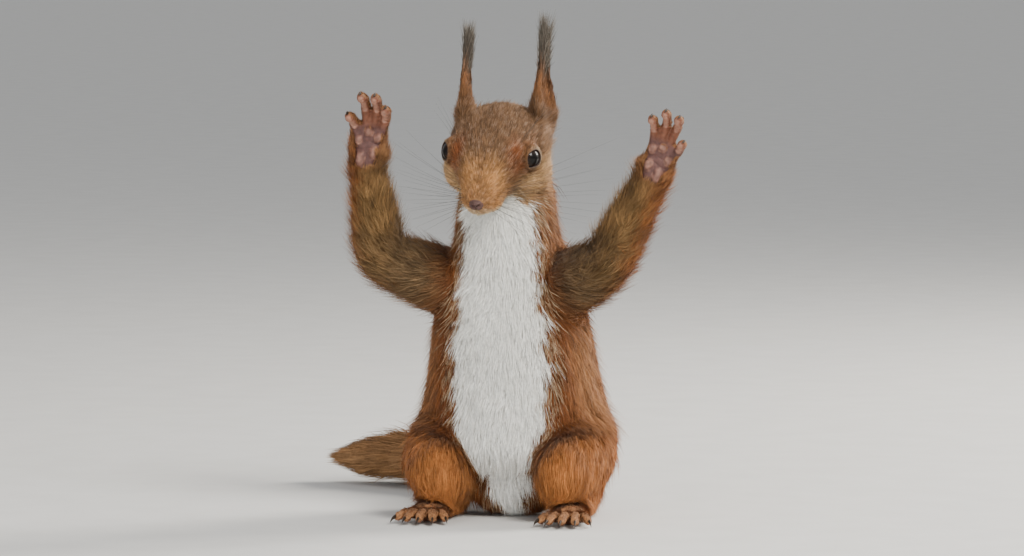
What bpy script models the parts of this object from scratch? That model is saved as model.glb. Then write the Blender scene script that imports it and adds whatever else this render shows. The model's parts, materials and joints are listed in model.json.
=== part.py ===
"""A red squirrel stood upright on its hind feet with both arms raised, life-size, as a still museum model.

The body is built whole, out to the tips of its coat, from tubes and rounded masses laid along the
bones. The masses are fused, and the fused body is parted into named pieces by thin cuts.
Lengths below are in millimetres in the animal's own frame: it faces -Y, its left side is +X, and the
floor is Z = 0. Each half size is the half size of the bare body, and COAT is the depth of fur on it.
"""

import math

import bmesh
import bpy
from mathutils import Matrix, Quaternion, Vector

MM = 0.001
GAP = 0.3  # width of the cut between two pieces
BODY_VOXEL = 1.5  # grain of the fused body before its folds are smoothed
FINE_VOXEL = 0.7  # grain once fingers, toes and ears are on
BODY_TRIANGLES = 4700  # of the whole body before it is parted
FLOOR = 0.0

SIDES = {"right": -1, "left": 1}

# ---- trunk and neck: height, setback, half width, half depth, coat ----
TRUNK = (
    (20, 13, 20, 18, 4),
    (27, 13, 28.5, 25.5, 5),
    (36, 12, 33.5, 30, 5),
    (54, 9, 32, 28.5, 5),
    (72, 5.5, 29.5, 25.5, 5),
    (88, 2.5, 26.5, 22, 5),
    (102, -0.5, 22.5, 19, 5),
    (116, -4.5, 18, 17, 5),
    (129, -6.5, 16.5, 16.5, 5),
    (141, -8, 15.5, 15.5, 4.5),
)

# ---- head: its own frame has X to the left, Y out along the snout and Z up ----
HEAD_CENTRE = Vector((-1, -13, 154.5))
HEAD_PITCH = 30  # degrees that the snout points below the level
HEAD_YAW = -3  # turned to the animal's right
HEAD_ROLL = 4  # tipped to the animal's left
# forward, up, half width, half height, coat
HEAD = (
    (-12.5, -3.8, 11.0, 8.8, 3.0),
    (-9, -2.2, 16.2, 12.6, 3.0),
    (-2, -1.2, 18.8, 14.6, 3.0),
    (6, -0.6, 18.4, 14.6, 2.8),
    (13, -0.5, 16.0, 13.6, 2.4),
    (20, -1.4, 12.4, 11.8, 2.0),
    (26.5, -3.2, 8.9, 9.4, 1.5),
    (31.5, -4.8, 7.0, 7.4, 1.0),
    (35, -5.8, 5.4, 5.6, 0.5),
)
# centre across, forward, up, then half sizes with the coat
HEAD_MASSES = (
    ((12.8, 6.5, -7.5), (9.5, 13.0, 10.0)),  # cheek
    ((4.0, 29.5, -7.6), (5.2, 7.0, 5.2)),  # whisker pad
    ((0.0, 24.5, -10.8), (5.6, 8.5, 4.8)),  # chin
    ((12.5, 12.0, 7.5), (4.4, 6.5, 3.2)),  # brow
)
EYE_PLACE = Vector((15.3, 13.5, 3.3))
EYE_RADIUS = 4.6
# behind the head, from the crown down to the shoulders: centre, then half sizes with the coat
NAPE = ((-0.5, -4.5, 149.5), (14.5, 13.5, 13.0))

# ---- ears: upright, and as high as each other though the head is tipped ----
EARS = {
    "right": {"root": (-17.3, -9, 158), "lean": 2.5},
    "left": {"root": (15.2, -9, 158.6), "lean": 0.8},
}
EAR_HEIGHT = 29.0
EAR_HALF_WIDTH = 7.6
EAR_CUP = 3.6  # how far the rims stand out past the middle of the shell
EAR_WALL = 3.4
EAR_TURN = 76  # degrees that the opening is turned from straight ahead to the side
EAR_TUCK = 3.5  # how far the root is drawn in under the fur of the head
TUFT_LENGTH = 19.0
TUFT_HALF_WIDTH = 2.6

# ---- arms ----
ARMS = {
    "right": {
        "shoulder": (-15, 0, 93),
        "elbow": (-49, -18, 108),
        "wrist": (-55, -22, 145),
        "reach": (-50.5, -24, 178),
    },
    "left": {
        "shoulder": (15, 0, 93),
        "elbow": (44, -18, 106),
        "wrist": (63, -22, 140.5),
        "reach": (75.5, -24, 170),
    },
}
# share of the way along the bone, half size, coat
UPPER_ARM = ((0.0, 13.0, 5.0), (0.5, 9.5, 5.0), (1.0, 7.0, 4.2))
FOREARM = ((0.0, 7.0, 4.2), (0.35, 7.2, 4.8), (0.75, 5.3, 4.1), (1.0, 4.0, 2.4))
SHOULDER_MASS = (18.5, 19, 20)
PALM_LENGTH = 16.0
# along the palm, half width, half thickness
PALM = ((-2.0, 4.8, 4.2), (3.0, 5.6, 4.3), (8.0, 6.2, 3.9), (PALM_LENGTH, 5.8, 3.0))
# across towards the thumb, along the palm, splay, bone lengths
FINGERS = (
    (4.4, 13.0, 14, (8.0, 5.8, 4.2)),
    (1.6, 15.2, 5, (9.4, 6.6, 4.6)),
    (-1.6, 15.0, -5, (9.4, 6.6, 4.6)),
    (-4.4, 10.2, -17, (6.8, 5.0, 3.8)),
)
FINGER_CURLS = (14, 50, 74)  # degrees that each bone leans over the palm
FINGER_RADIUS = 2.0
FINGER_TAPER = 0.82  # a finger's radius at its root, as a share of that at its tip
CLAW_LENGTH = 3.4
CLAW_RADIUS = 0.85
THUMB_ALONG = 4.5

# ---- hind legs, for the left side; the right one mirrors it ----
# x, y, z, half width, half height, coat
HAUNCH = (
    (21, 20, 29, 16, 17, 4.5),
    (25.5, 6, 26.5, 14.5, 15.5, 4.5),
    (27, -8, 23.5, 12.5, 12, 4.2),
    (26.5, -18, 20.5, 9, 10, 4),
)
SHANK = ((26, -15, 17, 9, 8, 4), (27, 2, 13, 8.5, 7.5, 3.5), (28, 14, 8.5, 5, 5, 2))
FOOT = (
    (28, 16, 4.4, 4.2, 4.6),
    (28, 4, 4.4, 4.8, 4.6),
    (28.5, -10, 4.2, 5.8, 4.4),
    (29.5, -22, 3.6, 7, 3.8),
)
# across outwards, splay, bone lengths
TOES = (
    (-5.8, -22, (4.8, 3.6, 3.0)),
    (-3.0, -10, (6.6, 4.8, 3.6)),
    (0.0, 0, (6.9, 5.0, 3.7)),
    (3.0, 10, (6.6, 4.8, 3.6)),
    (5.8, 24, (4.9, 3.6, 3.0)),
)
TOE_DROPS = (-16, 8, 24)  # degrees that each toe bone points below the level
TOE_RADIUS = 1.8

# ---- tail: x, y, z, half width, half height, out to the tips of its hair ----
TAIL = (
    (0, 30, 27, 13, 13),
    (0, 47, 21, 15, 14),
    (-5, 67, 16, 18.5, 15),
    (-19, 87, 13.6, 21.5, 14.4),
    (-39, 103, 13, 22, 14),
    (-61, 113, 12.8, 21, 13.6),
    (-80, 118, 12.2, 17.5, 12.6),
    (-92, 120, 11.6, 11.5, 9.5),
    (-99, 121, 11.2, 4.5, 4.5),
)
TAIL_CUTS = (0.34, 0.56, 0.78)  # shares of the way along it

COLOURS = {
    "coat": ((0.33, 0.12, 0.04), 0.8),
    "head": ((0.24, 0.11, 0.05), 0.8),
    "tail": ((0.2, 0.07, 0.03), 0.8),
    "paw": ((0.36, 0.18, 0.12), 0.6),
    "eye": ((0.01, 0.008, 0.007), 0.08),
}


def clear_scene():
    for thing in list(bpy.data.objects):
        bpy.data.objects.remove(thing, do_unlink=True)


# ---------------------------------------------------------------- curves and masses


def eased(rows, steps):
    """The rows of numbers with steps rows to each gap, on a smooth curve through them."""
    found = []
    for i in range(len(rows) - 1):
        before = rows[max(i - 1, 0)]
        first, second = rows[i], rows[i + 1]
        after = rows[min(i + 2, len(rows) - 1)]
        for step in range(steps):
            t = step / steps
            shares = (
                -0.5 * t + t**2 - 0.5 * t**3,
                1 - 2.5 * t**2 + 1.5 * t**3,
                0.5 * t + 2 * t**2 - 1.5 * t**3,
                -0.5 * t**2 + 0.5 * t**3,
            )
            columns = zip(before, first, second, after)
            found.append(tuple(sum(n * share for n, share in zip(column, shares)) for column in columns))
    return [*found, tuple(rows[-1])]


def domed(rows):
    """The rows with two more past each end, so that a tube through them closes in a round end."""

    def past(end, inner):
        way = (Vector(end[:3]) - Vector(inner[:3])).normalized()
        reach = min(end[3], end[4])
        return [
            (*(Vector(end[:3]) + way * reach * rise), end[3] * narrow, end[4] * narrow)
            for rise, narrow in ((0.5, 0.85), (0.85, 0.5))
        ]

    return [*reversed(past(rows[0], rows[1])), *rows, *past(rows[-1], rows[-2])]


def tube(bm, rows, side=(1, 0, 0), segments=20):
    """A closed tube of oval rings through rows of x, y, z, half width and half depth.

    Side is the way of its width.
    """
    rows = domed(rows)
    before = None
    for i, row in enumerate(rows):
        along = Vector(rows[min(i + 1, len(rows) - 1)][:3]) - Vector(rows[max(i - 1, 0)][:3])
        along.normalize()
        across = Vector(side) - along * along.dot(Vector(side))
        across.normalize()
        turn = Matrix((across, along.cross(across), along)).transposed().to_4x4()
        place = Matrix.Translation(Vector(row[:3])) @ turn @ Matrix.Diagonal((row[3], row[4], 1, 1))
        circle = bmesh.ops.create_circle(
            bm, cap_ends=i in (0, len(rows) - 1), segments=segments, radius=1, matrix=place
        )
        ring = circle["verts"]
        edges = {edge for vert in ring for edge in vert.link_edges if all(v in ring for v in edge.verts)}
        if before:
            bmesh.ops.bridge_loops(bm, edges=[*before, *edges])
        before = edges


def mass(bm, place, half_sizes, segments=20):
    """A rounded mass. Place is a matrix to its centre."""
    matrix = place @ Matrix.Diagonal((*half_sizes, 1))
    bmesh.ops.create_uvsphere(bm, u_segments=segments, v_segments=segments // 2, radius=1, matrix=matrix)


def head_frame():
    """The matrix from the head's frame, X left, Y along the snout and Z up, to the animal's."""
    facing = Matrix(((1, 0, 0), (0, -1, 0), (0, 0, 1))).to_4x4()
    pitch = Matrix.Rotation(math.radians(HEAD_PITCH), 4, "X")
    roll = Matrix.Rotation(math.radians(HEAD_ROLL), 4, "Y")
    yaw = Matrix.Rotation(math.radians(HEAD_YAW), 4, "Z")
    return Matrix.Translation(HEAD_CENTRE) @ yaw @ roll @ pitch @ facing


# ---------------------------------------------------------------- the body


def add_trunk(bm):
    rows = [(0, y, z, w + coat, d + coat) for z, y, w, d, coat in TRUNK]
    tube(bm, eased(rows, 3), segments=36)


def add_head(bm):
    to_body = head_frame()
    rows = []
    for forward, up, w, h, coat in HEAD:
        rows.append((*(to_body @ Vector((0, forward, up))), w + coat, h + coat))
    tube(bm, eased(rows, 3), side=to_body.to_3x3() @ Vector((1, 0, 0)), segments=32)
    for centre, sizes in HEAD_MASSES:
        for sign in SIDES.values():
            place = Vector((centre[0] * sign, *centre[1:]))
            mass(bm, to_body @ Matrix.Translation(place), sizes)
    mass(bm, Matrix.Translation(NAPE[0]), NAPE[1])


def between(start, end, share):
    return Vector(start).lerp(Vector(end), share)


def add_arm(bm, side):
    joints = ARMS[side]
    mass(bm, Matrix.Translation(Vector(joints["shoulder"])), SHOULDER_MASS)
    rows = []
    for share, half, coat in UPPER_ARM[:-1]:
        rows.append((*between(joints["shoulder"], joints["elbow"], share), half + coat, half + coat))
    for share, half, coat in FOREARM:
        rows.append((*between(joints["elbow"], joints["wrist"], share), half + coat, half * 0.9 + coat))
    tube(bm, eased(rows, 4), side=(0, 1, 0.2), segments=24)


def add_leg(bm, sign):
    for chain in (HAUNCH, SHANK):
        rows = [(x * sign, y, z, w + coat, h + coat) for x, y, z, w, h, coat in chain]
        tube(bm, eased(rows, 4), segments=24)


def add_tail(bm):
    tube(bm, eased(TAIL, 5), side=(0.6, 0.8, 0), segments=28)


# ---------------------------------------------------------------- hands, feet and ears


def digit(bm, root, along, over, lengths, angles, radius, taper=1.08):
    """A jointed digit with its claw. Along is its way when straight, and over is the way that it bends."""
    rows = [(*root, radius * taper, radius * taper)]
    point = Vector(root)
    for bone, (length, angle) in enumerate(zip(lengths, angles), 1):
        turn = math.radians(angle)
        way = along * math.cos(turn) + over * math.sin(turn)
        point = point + way * length
        half = radius * (taper + (1 - taper) * bone / len(lengths))
        rows.append((*point, half, half))
    side = along.cross(over)
    tube(bm, eased(rows, 2), side=side, segments=10)
    claw_way = (way * 0.9 + over * 0.25).normalized()
    tip = point + way * radius * 0.4 - over * radius * 0.2
    rows = []
    for share, thin in ((0, 1), (0.5, 0.8), (1, 0.4)):
        half = CLAW_RADIUS * thin
        rows.append((*(tip + claw_way * CLAW_LENGTH * share), half, half))
    tube(bm, rows, side=side, segments=8)


def hand_frame(side):
    """The matrix from the hand's frame to the animal's.

    It stands at the wrist, with X to the thumb, Y out of the palm and Z along the fingers.
    """
    joints = ARMS[side]
    along = (Vector(joints["reach"]) - Vector(joints["wrist"])).normalized()
    palm = Vector((0, -1, 0))
    palm = (palm - along * palm.dot(along)).normalized()
    thumb = palm.cross(along) * (1 if side == "right" else -1)
    if thumb.x * SIDES[side] > 0:
        thumb = -thumb
    frame = Matrix((thumb, palm, along)).transposed().to_4x4()
    return Matrix.Translation(Vector(joints["wrist"])) @ frame


def add_hand(bm, side):
    frame = hand_frame(side)
    turn = frame.to_3x3()
    thumb, palm, along = (turn @ Vector(axis) for axis in ((1, 0, 0), (0, 1, 0), (0, 0, 1)))
    rows = [(*(frame @ Vector((0, 0, z))), w, t) for z, w, t in PALM]
    tube(bm, eased(rows, 3), side=thumb, segments=18)
    for across, height, splay, lengths in FINGERS:
        way = along * math.cos(math.radians(splay)) + thumb * math.sin(math.radians(splay))
        root = frame @ Vector((across, 0, height))
        digit(bm, root, way, palm, lengths, FINGER_CURLS, FINGER_RADIUS, FINGER_TAPER)
    root = frame @ Vector((4.6, 0.8, THUMB_ALONG))
    knob = [(*(root + thumb * reach + along * reach * 0.5), r, r) for reach, r in ((0, 1.5), (2.6, 1.1))]
    tube(bm, knob, side=palm, segments=8)


def add_foot(bm, sign):
    rows = [(x * sign, y, z, w, h) for x, y, z, w, h in FOOT]
    tube(bm, eased(rows, 3), segments=18)
    ball = Vector((FOOT[-1][0] * sign, FOOT[-1][1] - 1, FOOT[-1][2] - 0.6))
    down = Vector((0, 0, -1))
    for across, splay, lengths in TOES:
        way = Vector((math.sin(math.radians(splay)) * sign, -math.cos(math.radians(splay)), 0))
        root = ball + Vector((across * sign, 0, 0))
        digit(bm, root, way, down, lengths, TOE_DROPS, TOE_RADIUS)


def ear_frame(side):
    """The matrix from the ear's frame to the animal's.

    It stands at the ear's root, with X across it, Y out of its opening and Z up to its tip.
    """
    facing = Matrix.Rotation(math.radians(180 + EAR_TURN * SIDES[side]), 4, "Z")
    lean = Matrix.Rotation(math.radians(EARS[side]["lean"]), 4, "Y")
    return Matrix.Translation(Vector(EARS[side]["root"])) @ lean @ facing


def add_ear(bm, side):
    """A cupped leaf: each ring is a crescent across the ear, and the rings narrow up to the tuft."""
    frame = ear_frame(side)
    levels = 9
    columns = 7
    before = None
    for level in range(levels):
        share = level / (levels - 1)
        half = EAR_HALF_WIDTH * (0.85 + 0.5 * share - 1.0 * share**4)
        wall = EAR_WALL * (1.3 - 0.55 * share)
        cup = EAR_CUP * (1 - 0.5 * share)
        tuck = EAR_TUCK * max(0, 1 - 2.5 * share)
        outer = []
        inner = []
        for column in range(columns):
            across = 2 * column / (columns - 1) - 1
            bow = cup * (across**2 - 0.4) - tuck
            thick = wall * (1 - 0.3 * across**2)
            outer.append(frame @ Vector((across * half, bow - thick / 2, EAR_HEIGHT * share - 3)))
            inner.append(frame @ Vector((across * half * 0.93, bow + thick / 2, EAR_HEIGHT * share - 3)))
        ring = [bm.verts.new(point) for point in outer + inner[::-1]]
        edges = [bm.edges.new((ring[i], ring[(i + 1) % len(ring)])) for i in range(len(ring))]
        if before:
            bmesh.ops.bridge_loops(bm, edges=[*before, *edges])
        if level in (0, levels - 1):
            bm.faces.new(ring)
        before = edges
    up = EAR_HEIGHT - 6
    rows = []
    for share, wide in ((0, 1), (0.3, 1.05), (0.65, 0.95), (0.9, 0.75), (1, 0.45)):
        point = frame @ Vector((0, -0.4, up + (TUFT_LENGTH + 3) * share))
        rows.append((*point, TUFT_HALF_WIDTH * wide, TUFT_HALF_WIDTH * wide * 0.9))
    tube(bm, rows, segments=10)


# ---------------------------------------------------------------- fusing and parting


def mesh_object(name, bm):
    """The bmesh, in millimetres, as an object in metres."""
    bmesh.ops.recalc_face_normals(bm, faces=bm.faces)
    mesh = bpy.data.meshes.new(name)
    bm.to_mesh(mesh)
    bm.free()
    mesh.transform(Matrix.Scale(MM, 4))
    thing = bpy.data.objects.new(name, mesh)
    bpy.context.scene.collection.objects.link(thing)
    return thing


def applied(thing):
    """Applies the object's modifiers to its mesh."""
    bpy.context.view_layer.update()
    graph = bpy.context.evaluated_depsgraph_get()
    mesh = bpy.data.meshes.new_from_object(thing.evaluated_get(graph))
    thing.modifiers.clear()
    thing.data = mesh
    return thing


def fused(thing, voxel, smoothings):
    remesh = thing.modifiers.new("fuse", "REMESH")
    remesh.mode = "VOXEL"
    remesh.voxel_size = voxel * MM
    smooth = thing.modifiers.new("soften", "SMOOTH")
    smooth.factor = 0.5
    smooth.iterations = smoothings
    return applied(thing)


def whole_body():
    bm = bmesh.new()
    add_trunk(bm)
    add_head(bm)
    add_tail(bm)
    for side, sign in SIDES.items():
        add_arm(bm, side)
        add_leg(bm, sign)
    body = fused(mesh_object("body", bm), BODY_VOXEL, 7)

    bm = bmesh.new()
    bm.from_mesh(body.data)
    bmesh.ops.scale(bm, vec=(1 / MM,) * 3, verts=bm.verts)
    for side, sign in SIDES.items():
        add_hand(bm, side)
        add_foot(bm, sign)
        add_ear(bm, side)
    bpy.data.objects.remove(body)
    body = fused(mesh_object("body", bm), FINE_VOXEL, 2)
    fewer = body.modifiers.new("fewer", "DECIMATE")
    body.data.calc_loop_triangles()
    fewer.ratio = BODY_TRIANGLES / len(body.data.loop_triangles)
    applied(body)
    level_feet(body)
    body, *crumbs = islands(body)
    for crumb in crumbs:
        bpy.data.objects.remove(crumb)
    return body


def level_feet(body):
    """Cuts the soles and the tail flat where they meet the floor."""
    bm = bmesh.new()
    bm.from_mesh(body.data)
    geometry = [*bm.verts, *bm.edges, *bm.faces]
    cut = bmesh.ops.bisect_plane(
        bm, geom=geometry, dist=1e-6, plane_co=(0, 0, FLOOR), plane_no=(0, 0, -1), clear_outer=True
    )
    rim = [item for item in cut["geom_cut"] if isinstance(item, bmesh.types.BMEdge)]
    bmesh.ops.holes_fill(bm, edges=rim)
    bmesh.ops.recalc_face_normals(bm, faces=bm.faces)
    bm.to_mesh(body.data)
    bm.free()


def disc_cutter(centre, way, radius):
    bm = bmesh.new()
    place = Matrix.Translation(Vector(centre)) @ Vector(way).to_track_quat("Z", "Y").to_matrix().to_4x4()
    bmesh.ops.create_cone(
        bm, cap_ends=True, segments=48, radius1=radius, radius2=radius, depth=GAP, matrix=place
    )
    return mesh_object("cutter", bm)


def shell_cutter(centre, half_sizes):
    """A thin closed shell: one rounded mass inside another."""
    outer = bmesh.new()
    mass(outer, Matrix.Translation(Vector(centre)), [half + GAP / 2 for half in half_sizes], 28)
    inner = bmesh.new()
    mass(inner, Matrix.Translation(Vector(centre)), [half - GAP / 2 for half in half_sizes], 28)
    shell = mesh_object("cutter", outer)
    core = mesh_object("core", inner)
    subtract(shell, core)
    return shell


def subtract(thing, cutter):
    cut = thing.modifiers.new("cut", "BOOLEAN")
    cut.operation = "DIFFERENCE"
    cut.object = cutter
    applied(thing)
    bpy.data.objects.remove(cutter)


def islands(thing):
    """The object's loose parts as objects of their own, largest first. The object is removed."""
    bm = bmesh.new()
    bm.from_mesh(thing.data)
    left = set(bm.verts)
    groups = []
    while left:
        todo = [left.pop()]
        group = set(todo)
        while todo:
            for edge in todo.pop().link_edges:
                for vert in edge.verts:
                    if vert in left:
                        left.remove(vert)
                        group.add(vert)
                        todo.append(vert)
        groups.append(group)
    found = []
    for group in groups:
        part = bm.copy()
        part.verts.ensure_lookup_table()
        keep = {vert.index for vert in group}
        others = [vert for vert in part.verts if vert.index not in keep]
        bmesh.ops.delete(part, geom=others, context="VERTS")
        mesh = bpy.data.meshes.new("part")
        part.to_mesh(mesh)
        part.free()
        piece = bpy.data.objects.new("part", mesh)
        bpy.context.scene.collection.objects.link(piece)
        found.append(piece)
    bm.free()
    bpy.data.objects.remove(thing)
    return sorted(found, key=lambda piece: -len(piece.data.vertices))


def middle(piece):
    corners = [vert.co for vert in piece.data.vertices]
    return sum(corners, Vector()) / len(corners) / MM


def part_off(thing, cutter, near):
    """Cuts the object in two. Returns the rest, then the piece whose middle is nearest to near."""
    subtract(thing, cutter)
    pieces = islands(thing)
    if len(pieces) != 2:
        found = [(len(piece.data.vertices), tuple(middle(piece))) for piece in pieces]
        raise ValueError(f"the cut left {found}")
    first, second = pieces[:2]
    if (middle(first) - Vector(near)).length < (middle(second) - Vector(near)).length:
        first, second = second, first
    return first, second


def finish(piece, name, colour):
    piece.name = name
    piece.data.name = name
    material = bpy.data.materials.get(colour)
    if not material:
        material = bpy.data.materials.new(colour)
        material.use_nodes = True
        shader = material.node_tree.nodes["Principled BSDF"]
        base, roughness = COLOURS[colour]
        shader.inputs["Base Color"].default_value = (*base, 1)
        shader.inputs["Roughness"].default_value = roughness
        shader.inputs["Metallic"].default_value = 0
    piece.data.materials.clear()
    piece.data.materials.append(material)
    piece.data.shade_smooth()


def part_arm(body, side):
    sign = SIDES[side]
    joints = {name: Vector(place) for name, place in ARMS[side].items()}
    shoulder_cut = disc_cutter((30 * sign, -6, 98.5), (0.985 * sign, 0, 0.17), 23)
    body, arm = part_off(body, shoulder_cut, joints["elbow"])
    upper_way = (joints["elbow"] - joints["shoulder"]).normalized()
    lower_way = (joints["wrist"] - joints["elbow"]).normalized()
    elbow_cut = disc_cutter(joints["elbow"], (upper_way + lower_way).normalized(), 30)
    upper, lower = part_off(arm, elbow_cut, joints["wrist"])
    forearm, hand = part_off(lower, disc_cutter(joints["wrist"], lower_way, 30), joints["reach"])
    finish(upper, f"upper_arm_{side}", "coat")
    finish(forearm, f"forearm_{side}", "coat")
    finish(hand, f"hand_{side}", "paw")
    return body


def part_leg(body, side):
    sign = SIDES[side]
    body, leg = part_off(body, shell_cutter((38 * sign, -14, 6), (29, 46, 36)), (32 * sign, -4, 16))
    leg, foot = part_off(leg, shell_cutter((30 * sign, -15, 0), (15.5, 54, 9.2)), (30 * sign, -16, 3))
    finish(leg, f"hind_leg_{side}", "coat")
    finish(foot, f"hind_foot_{side}", "paw")
    return body


def part_tail(body):
    rows = eased(TAIL, 20)
    root_way = Vector((0, 0.92, -0.4))
    body, tail = part_off(body, disc_cutter((0, 39.5, 22), root_way, 26), TAIL[4][:3])
    for number, share in enumerate(TAIL_CUTS, 1):
        at = round(share * (len(rows) - 1))
        way = Vector(rows[at + 1][:3]) - Vector(rows[at - 1][:3])
        length, tail = part_off(tail, disc_cutter(rows[at][:3], way, 34), TAIL[-2][:3])
        finish(length, f"tail_{number}", "tail")
    finish(tail, f"tail_{len(TAIL_CUTS) + 1}", "tail")
    return body


def part_head(body):
    to_body = head_frame()
    body, top = part_off(body, disc_cutter((0, -8, 117), (0, -0.28, 0.96), 60), HEAD_CENTRE)
    neck, head = part_off(top, disc_cutter((0, -10, 132), (0, -0.5, 0.866), 60), HEAD_CENTRE)
    for side, sign in SIDES.items():
        frame = ear_frame(side)
        tip = frame @ Vector((0, 0, EAR_HEIGHT))
        root = frame @ Vector((0, 0, 12.5))
        head, ear = part_off(head, disc_cutter(root, (0.3 * sign, 0, 0.95), 10.5), tip)
        finish(ear, f"ear_{side}", "head")
        socket = to_body @ Vector((EYE_PLACE.x * sign, EYE_PLACE.y, EYE_PLACE.z))
        bm = bmesh.new()
        mass(bm, Matrix.Translation(socket), (EYE_RADIUS + GAP,) * 3, 14)
        subtract(head, mesh_object("socket", bm))
        bm = bmesh.new()
        mass(bm, Matrix.Translation(socket), (EYE_RADIUS,) * 3, 14)
        finish(mesh_object("eye", bm), f"eye_{side}", "eye")
    finish(neck, "neck", "coat")
    finish(head, "head", "head")
    return body


def centre_on_footprint():
    """Moves every piece so that the origin is on the floor, midway in the model's width and depth."""
    points = [vert.co for thing in bpy.data.objects for vert in thing.data.vertices]
    middle_x, middle_y = ((min(p[i] for p in points) + max(p[i] for p in points)) / 2 for i in (0, 1))
    for thing in bpy.data.objects:
        thing.data.transform(Matrix.Translation((-middle_x, -middle_y, 0)))


def main():
    clear_scene()
    body = whole_body()
    for side in SIDES:
        body = part_arm(body, side)
        body = part_leg(body, side)
    body = part_tail(body)
    body = part_head(body)
    finish(body, "trunk", "coat")
    centre_on_footprint()


main()
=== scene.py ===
# %% [markdown]
# # A red squirrel with both arms up
# This lesson dresses a life-size squirrel. The solids that carry its shape are loaded first and are
# never moved. Over them comes one skin with no seam, then eyes and claws, and then the coat, which is
# a few hundred thousand thin tufts of mesh combed the way a squirrel's fur lies.

# %% The frame
import json
import math

import bmesh
import bpy
import numpy as np
from mathutils import Matrix, Vector
from mathutils.bvhtree import BVHTree
from mathutils.kdtree import KDTree

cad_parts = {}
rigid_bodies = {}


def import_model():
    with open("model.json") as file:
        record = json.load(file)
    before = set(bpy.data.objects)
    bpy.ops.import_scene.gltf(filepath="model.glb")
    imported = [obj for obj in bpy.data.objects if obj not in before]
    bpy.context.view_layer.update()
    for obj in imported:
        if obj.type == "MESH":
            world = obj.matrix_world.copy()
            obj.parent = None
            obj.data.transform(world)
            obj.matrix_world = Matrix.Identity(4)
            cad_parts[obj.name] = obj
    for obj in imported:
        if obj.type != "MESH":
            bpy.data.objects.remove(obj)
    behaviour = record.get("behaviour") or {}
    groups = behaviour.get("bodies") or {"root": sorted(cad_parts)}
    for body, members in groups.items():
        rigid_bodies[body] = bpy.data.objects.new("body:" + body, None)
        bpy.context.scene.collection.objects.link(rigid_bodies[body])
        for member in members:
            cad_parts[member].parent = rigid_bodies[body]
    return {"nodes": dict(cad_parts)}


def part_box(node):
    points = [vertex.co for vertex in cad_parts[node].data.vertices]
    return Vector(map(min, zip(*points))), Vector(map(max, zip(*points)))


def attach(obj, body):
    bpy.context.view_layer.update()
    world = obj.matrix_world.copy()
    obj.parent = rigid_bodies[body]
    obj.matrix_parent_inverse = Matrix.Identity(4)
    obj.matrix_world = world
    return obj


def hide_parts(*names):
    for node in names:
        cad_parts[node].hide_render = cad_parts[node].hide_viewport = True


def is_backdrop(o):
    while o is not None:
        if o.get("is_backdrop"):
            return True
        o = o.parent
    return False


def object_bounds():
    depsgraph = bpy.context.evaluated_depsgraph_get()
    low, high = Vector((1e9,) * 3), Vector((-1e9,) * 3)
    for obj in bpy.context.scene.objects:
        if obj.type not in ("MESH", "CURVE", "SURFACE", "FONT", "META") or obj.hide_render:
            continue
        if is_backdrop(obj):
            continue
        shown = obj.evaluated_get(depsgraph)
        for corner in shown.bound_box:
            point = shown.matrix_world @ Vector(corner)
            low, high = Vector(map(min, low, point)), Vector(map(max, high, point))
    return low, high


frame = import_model()
cad_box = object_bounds()
MM = 0.001
SIDES = {"right": -1, "left": 1}
rng = np.random.default_rng(11)
print("solids:", len(frame["nodes"]), "box:", [round(v, 4) for corner in cad_box for v in corner])

# %% [markdown]
# ## The skeleton of sizes
# A squirrel standing up is a pear-shaped trunk on two folded hind legs. The sizes below are of the bare
# body in millimetres, in the animal's own frame: it faces -Y, its left is +X and the floor is Z = 0.
# They are the sizes that the solids were drawn from, without the depth of the coat.

# %% Sizes of the trunk and head
# height, setback, half width, half depth
TRUNK = (
    (20, 13, 20, 18),
    (27, 13, 28.5, 25.5),
    (36, 12, 33.5, 30),
    (54, 9, 32, 28.5),
    (72, 5.5, 29.5, 25.5),
    (88, 2.5, 26.5, 22),
    (102, -0.5, 22.5, 19),
    (116, -4.5, 18, 17),
    (129, -6.5, 16.5, 16.5),
    (141, -8, 15.5, 15.5),
)
HEAD_CENTRE = Vector((-1, -13, 154.5))
HEAD_PITCH, HEAD_YAW, HEAD_ROLL = 30, -3, 4
# forward, up, half width, half height
HEAD = (
    (-12.5, -3.8, 11.0, 8.8),
    (-9, -2.2, 16.2, 12.6),
    (-2, -1.2, 18.8, 14.6),
    (6, -0.6, 18.4, 14.6),
    (13, -0.5, 16.0, 13.6),
    (20, -1.4, 12.4, 11.8),
    (26.5, -3.2, 8.9, 9.4),
    (31.5, -4.8, 7.0, 7.4),
    (35, -5.8, 5.4, 5.6),
)
# across, forward, up, then half sizes
HEAD_MASSES = (
    ((12.4, 6.5, -7.5), (8.0, 11.5, 8.5)),  # cheek
    ((3.7, 29.5, -7.4), (4.6, 6.4, 4.6)),  # whisker pad
    ((0.0, 24.5, -10.6), (4.6, 8.0, 4.0)),  # chin
    ((12.2, 12.0, 7.0), (3.8, 6.0, 2.8)),  # brow
)
NAPE = ((-0.5, -4.5, 149.5), (11.0, 9.6, 9.2))  # centre, then half sizes
print("bare trunk:", 2 * max(row[2] for row in TRUNK), "mm wide at most")

# %% [markdown]
# The arms are given by their joints, and the legs by the middles of their rings. The right arm is
# folded more than the left, so each side has its own joints, but both legs share one set of rings.

# %% Sizes of the limbs and tail
ARMS = {  # reach is the place that the fingers point to
    "right": {
        "shoulder": (-15, 0, 93),
        "elbow": (-49, -18, 108),
        "wrist": (-55, -22, 145),
        "reach": (-50.5, -24, 178),
    },
    "left": {
        "shoulder": (15, 0, 93),
        "elbow": (44, -18, 106),
        "wrist": (63, -22, 140.5),
        "reach": (75.5, -24, 170),
    },
}
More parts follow.
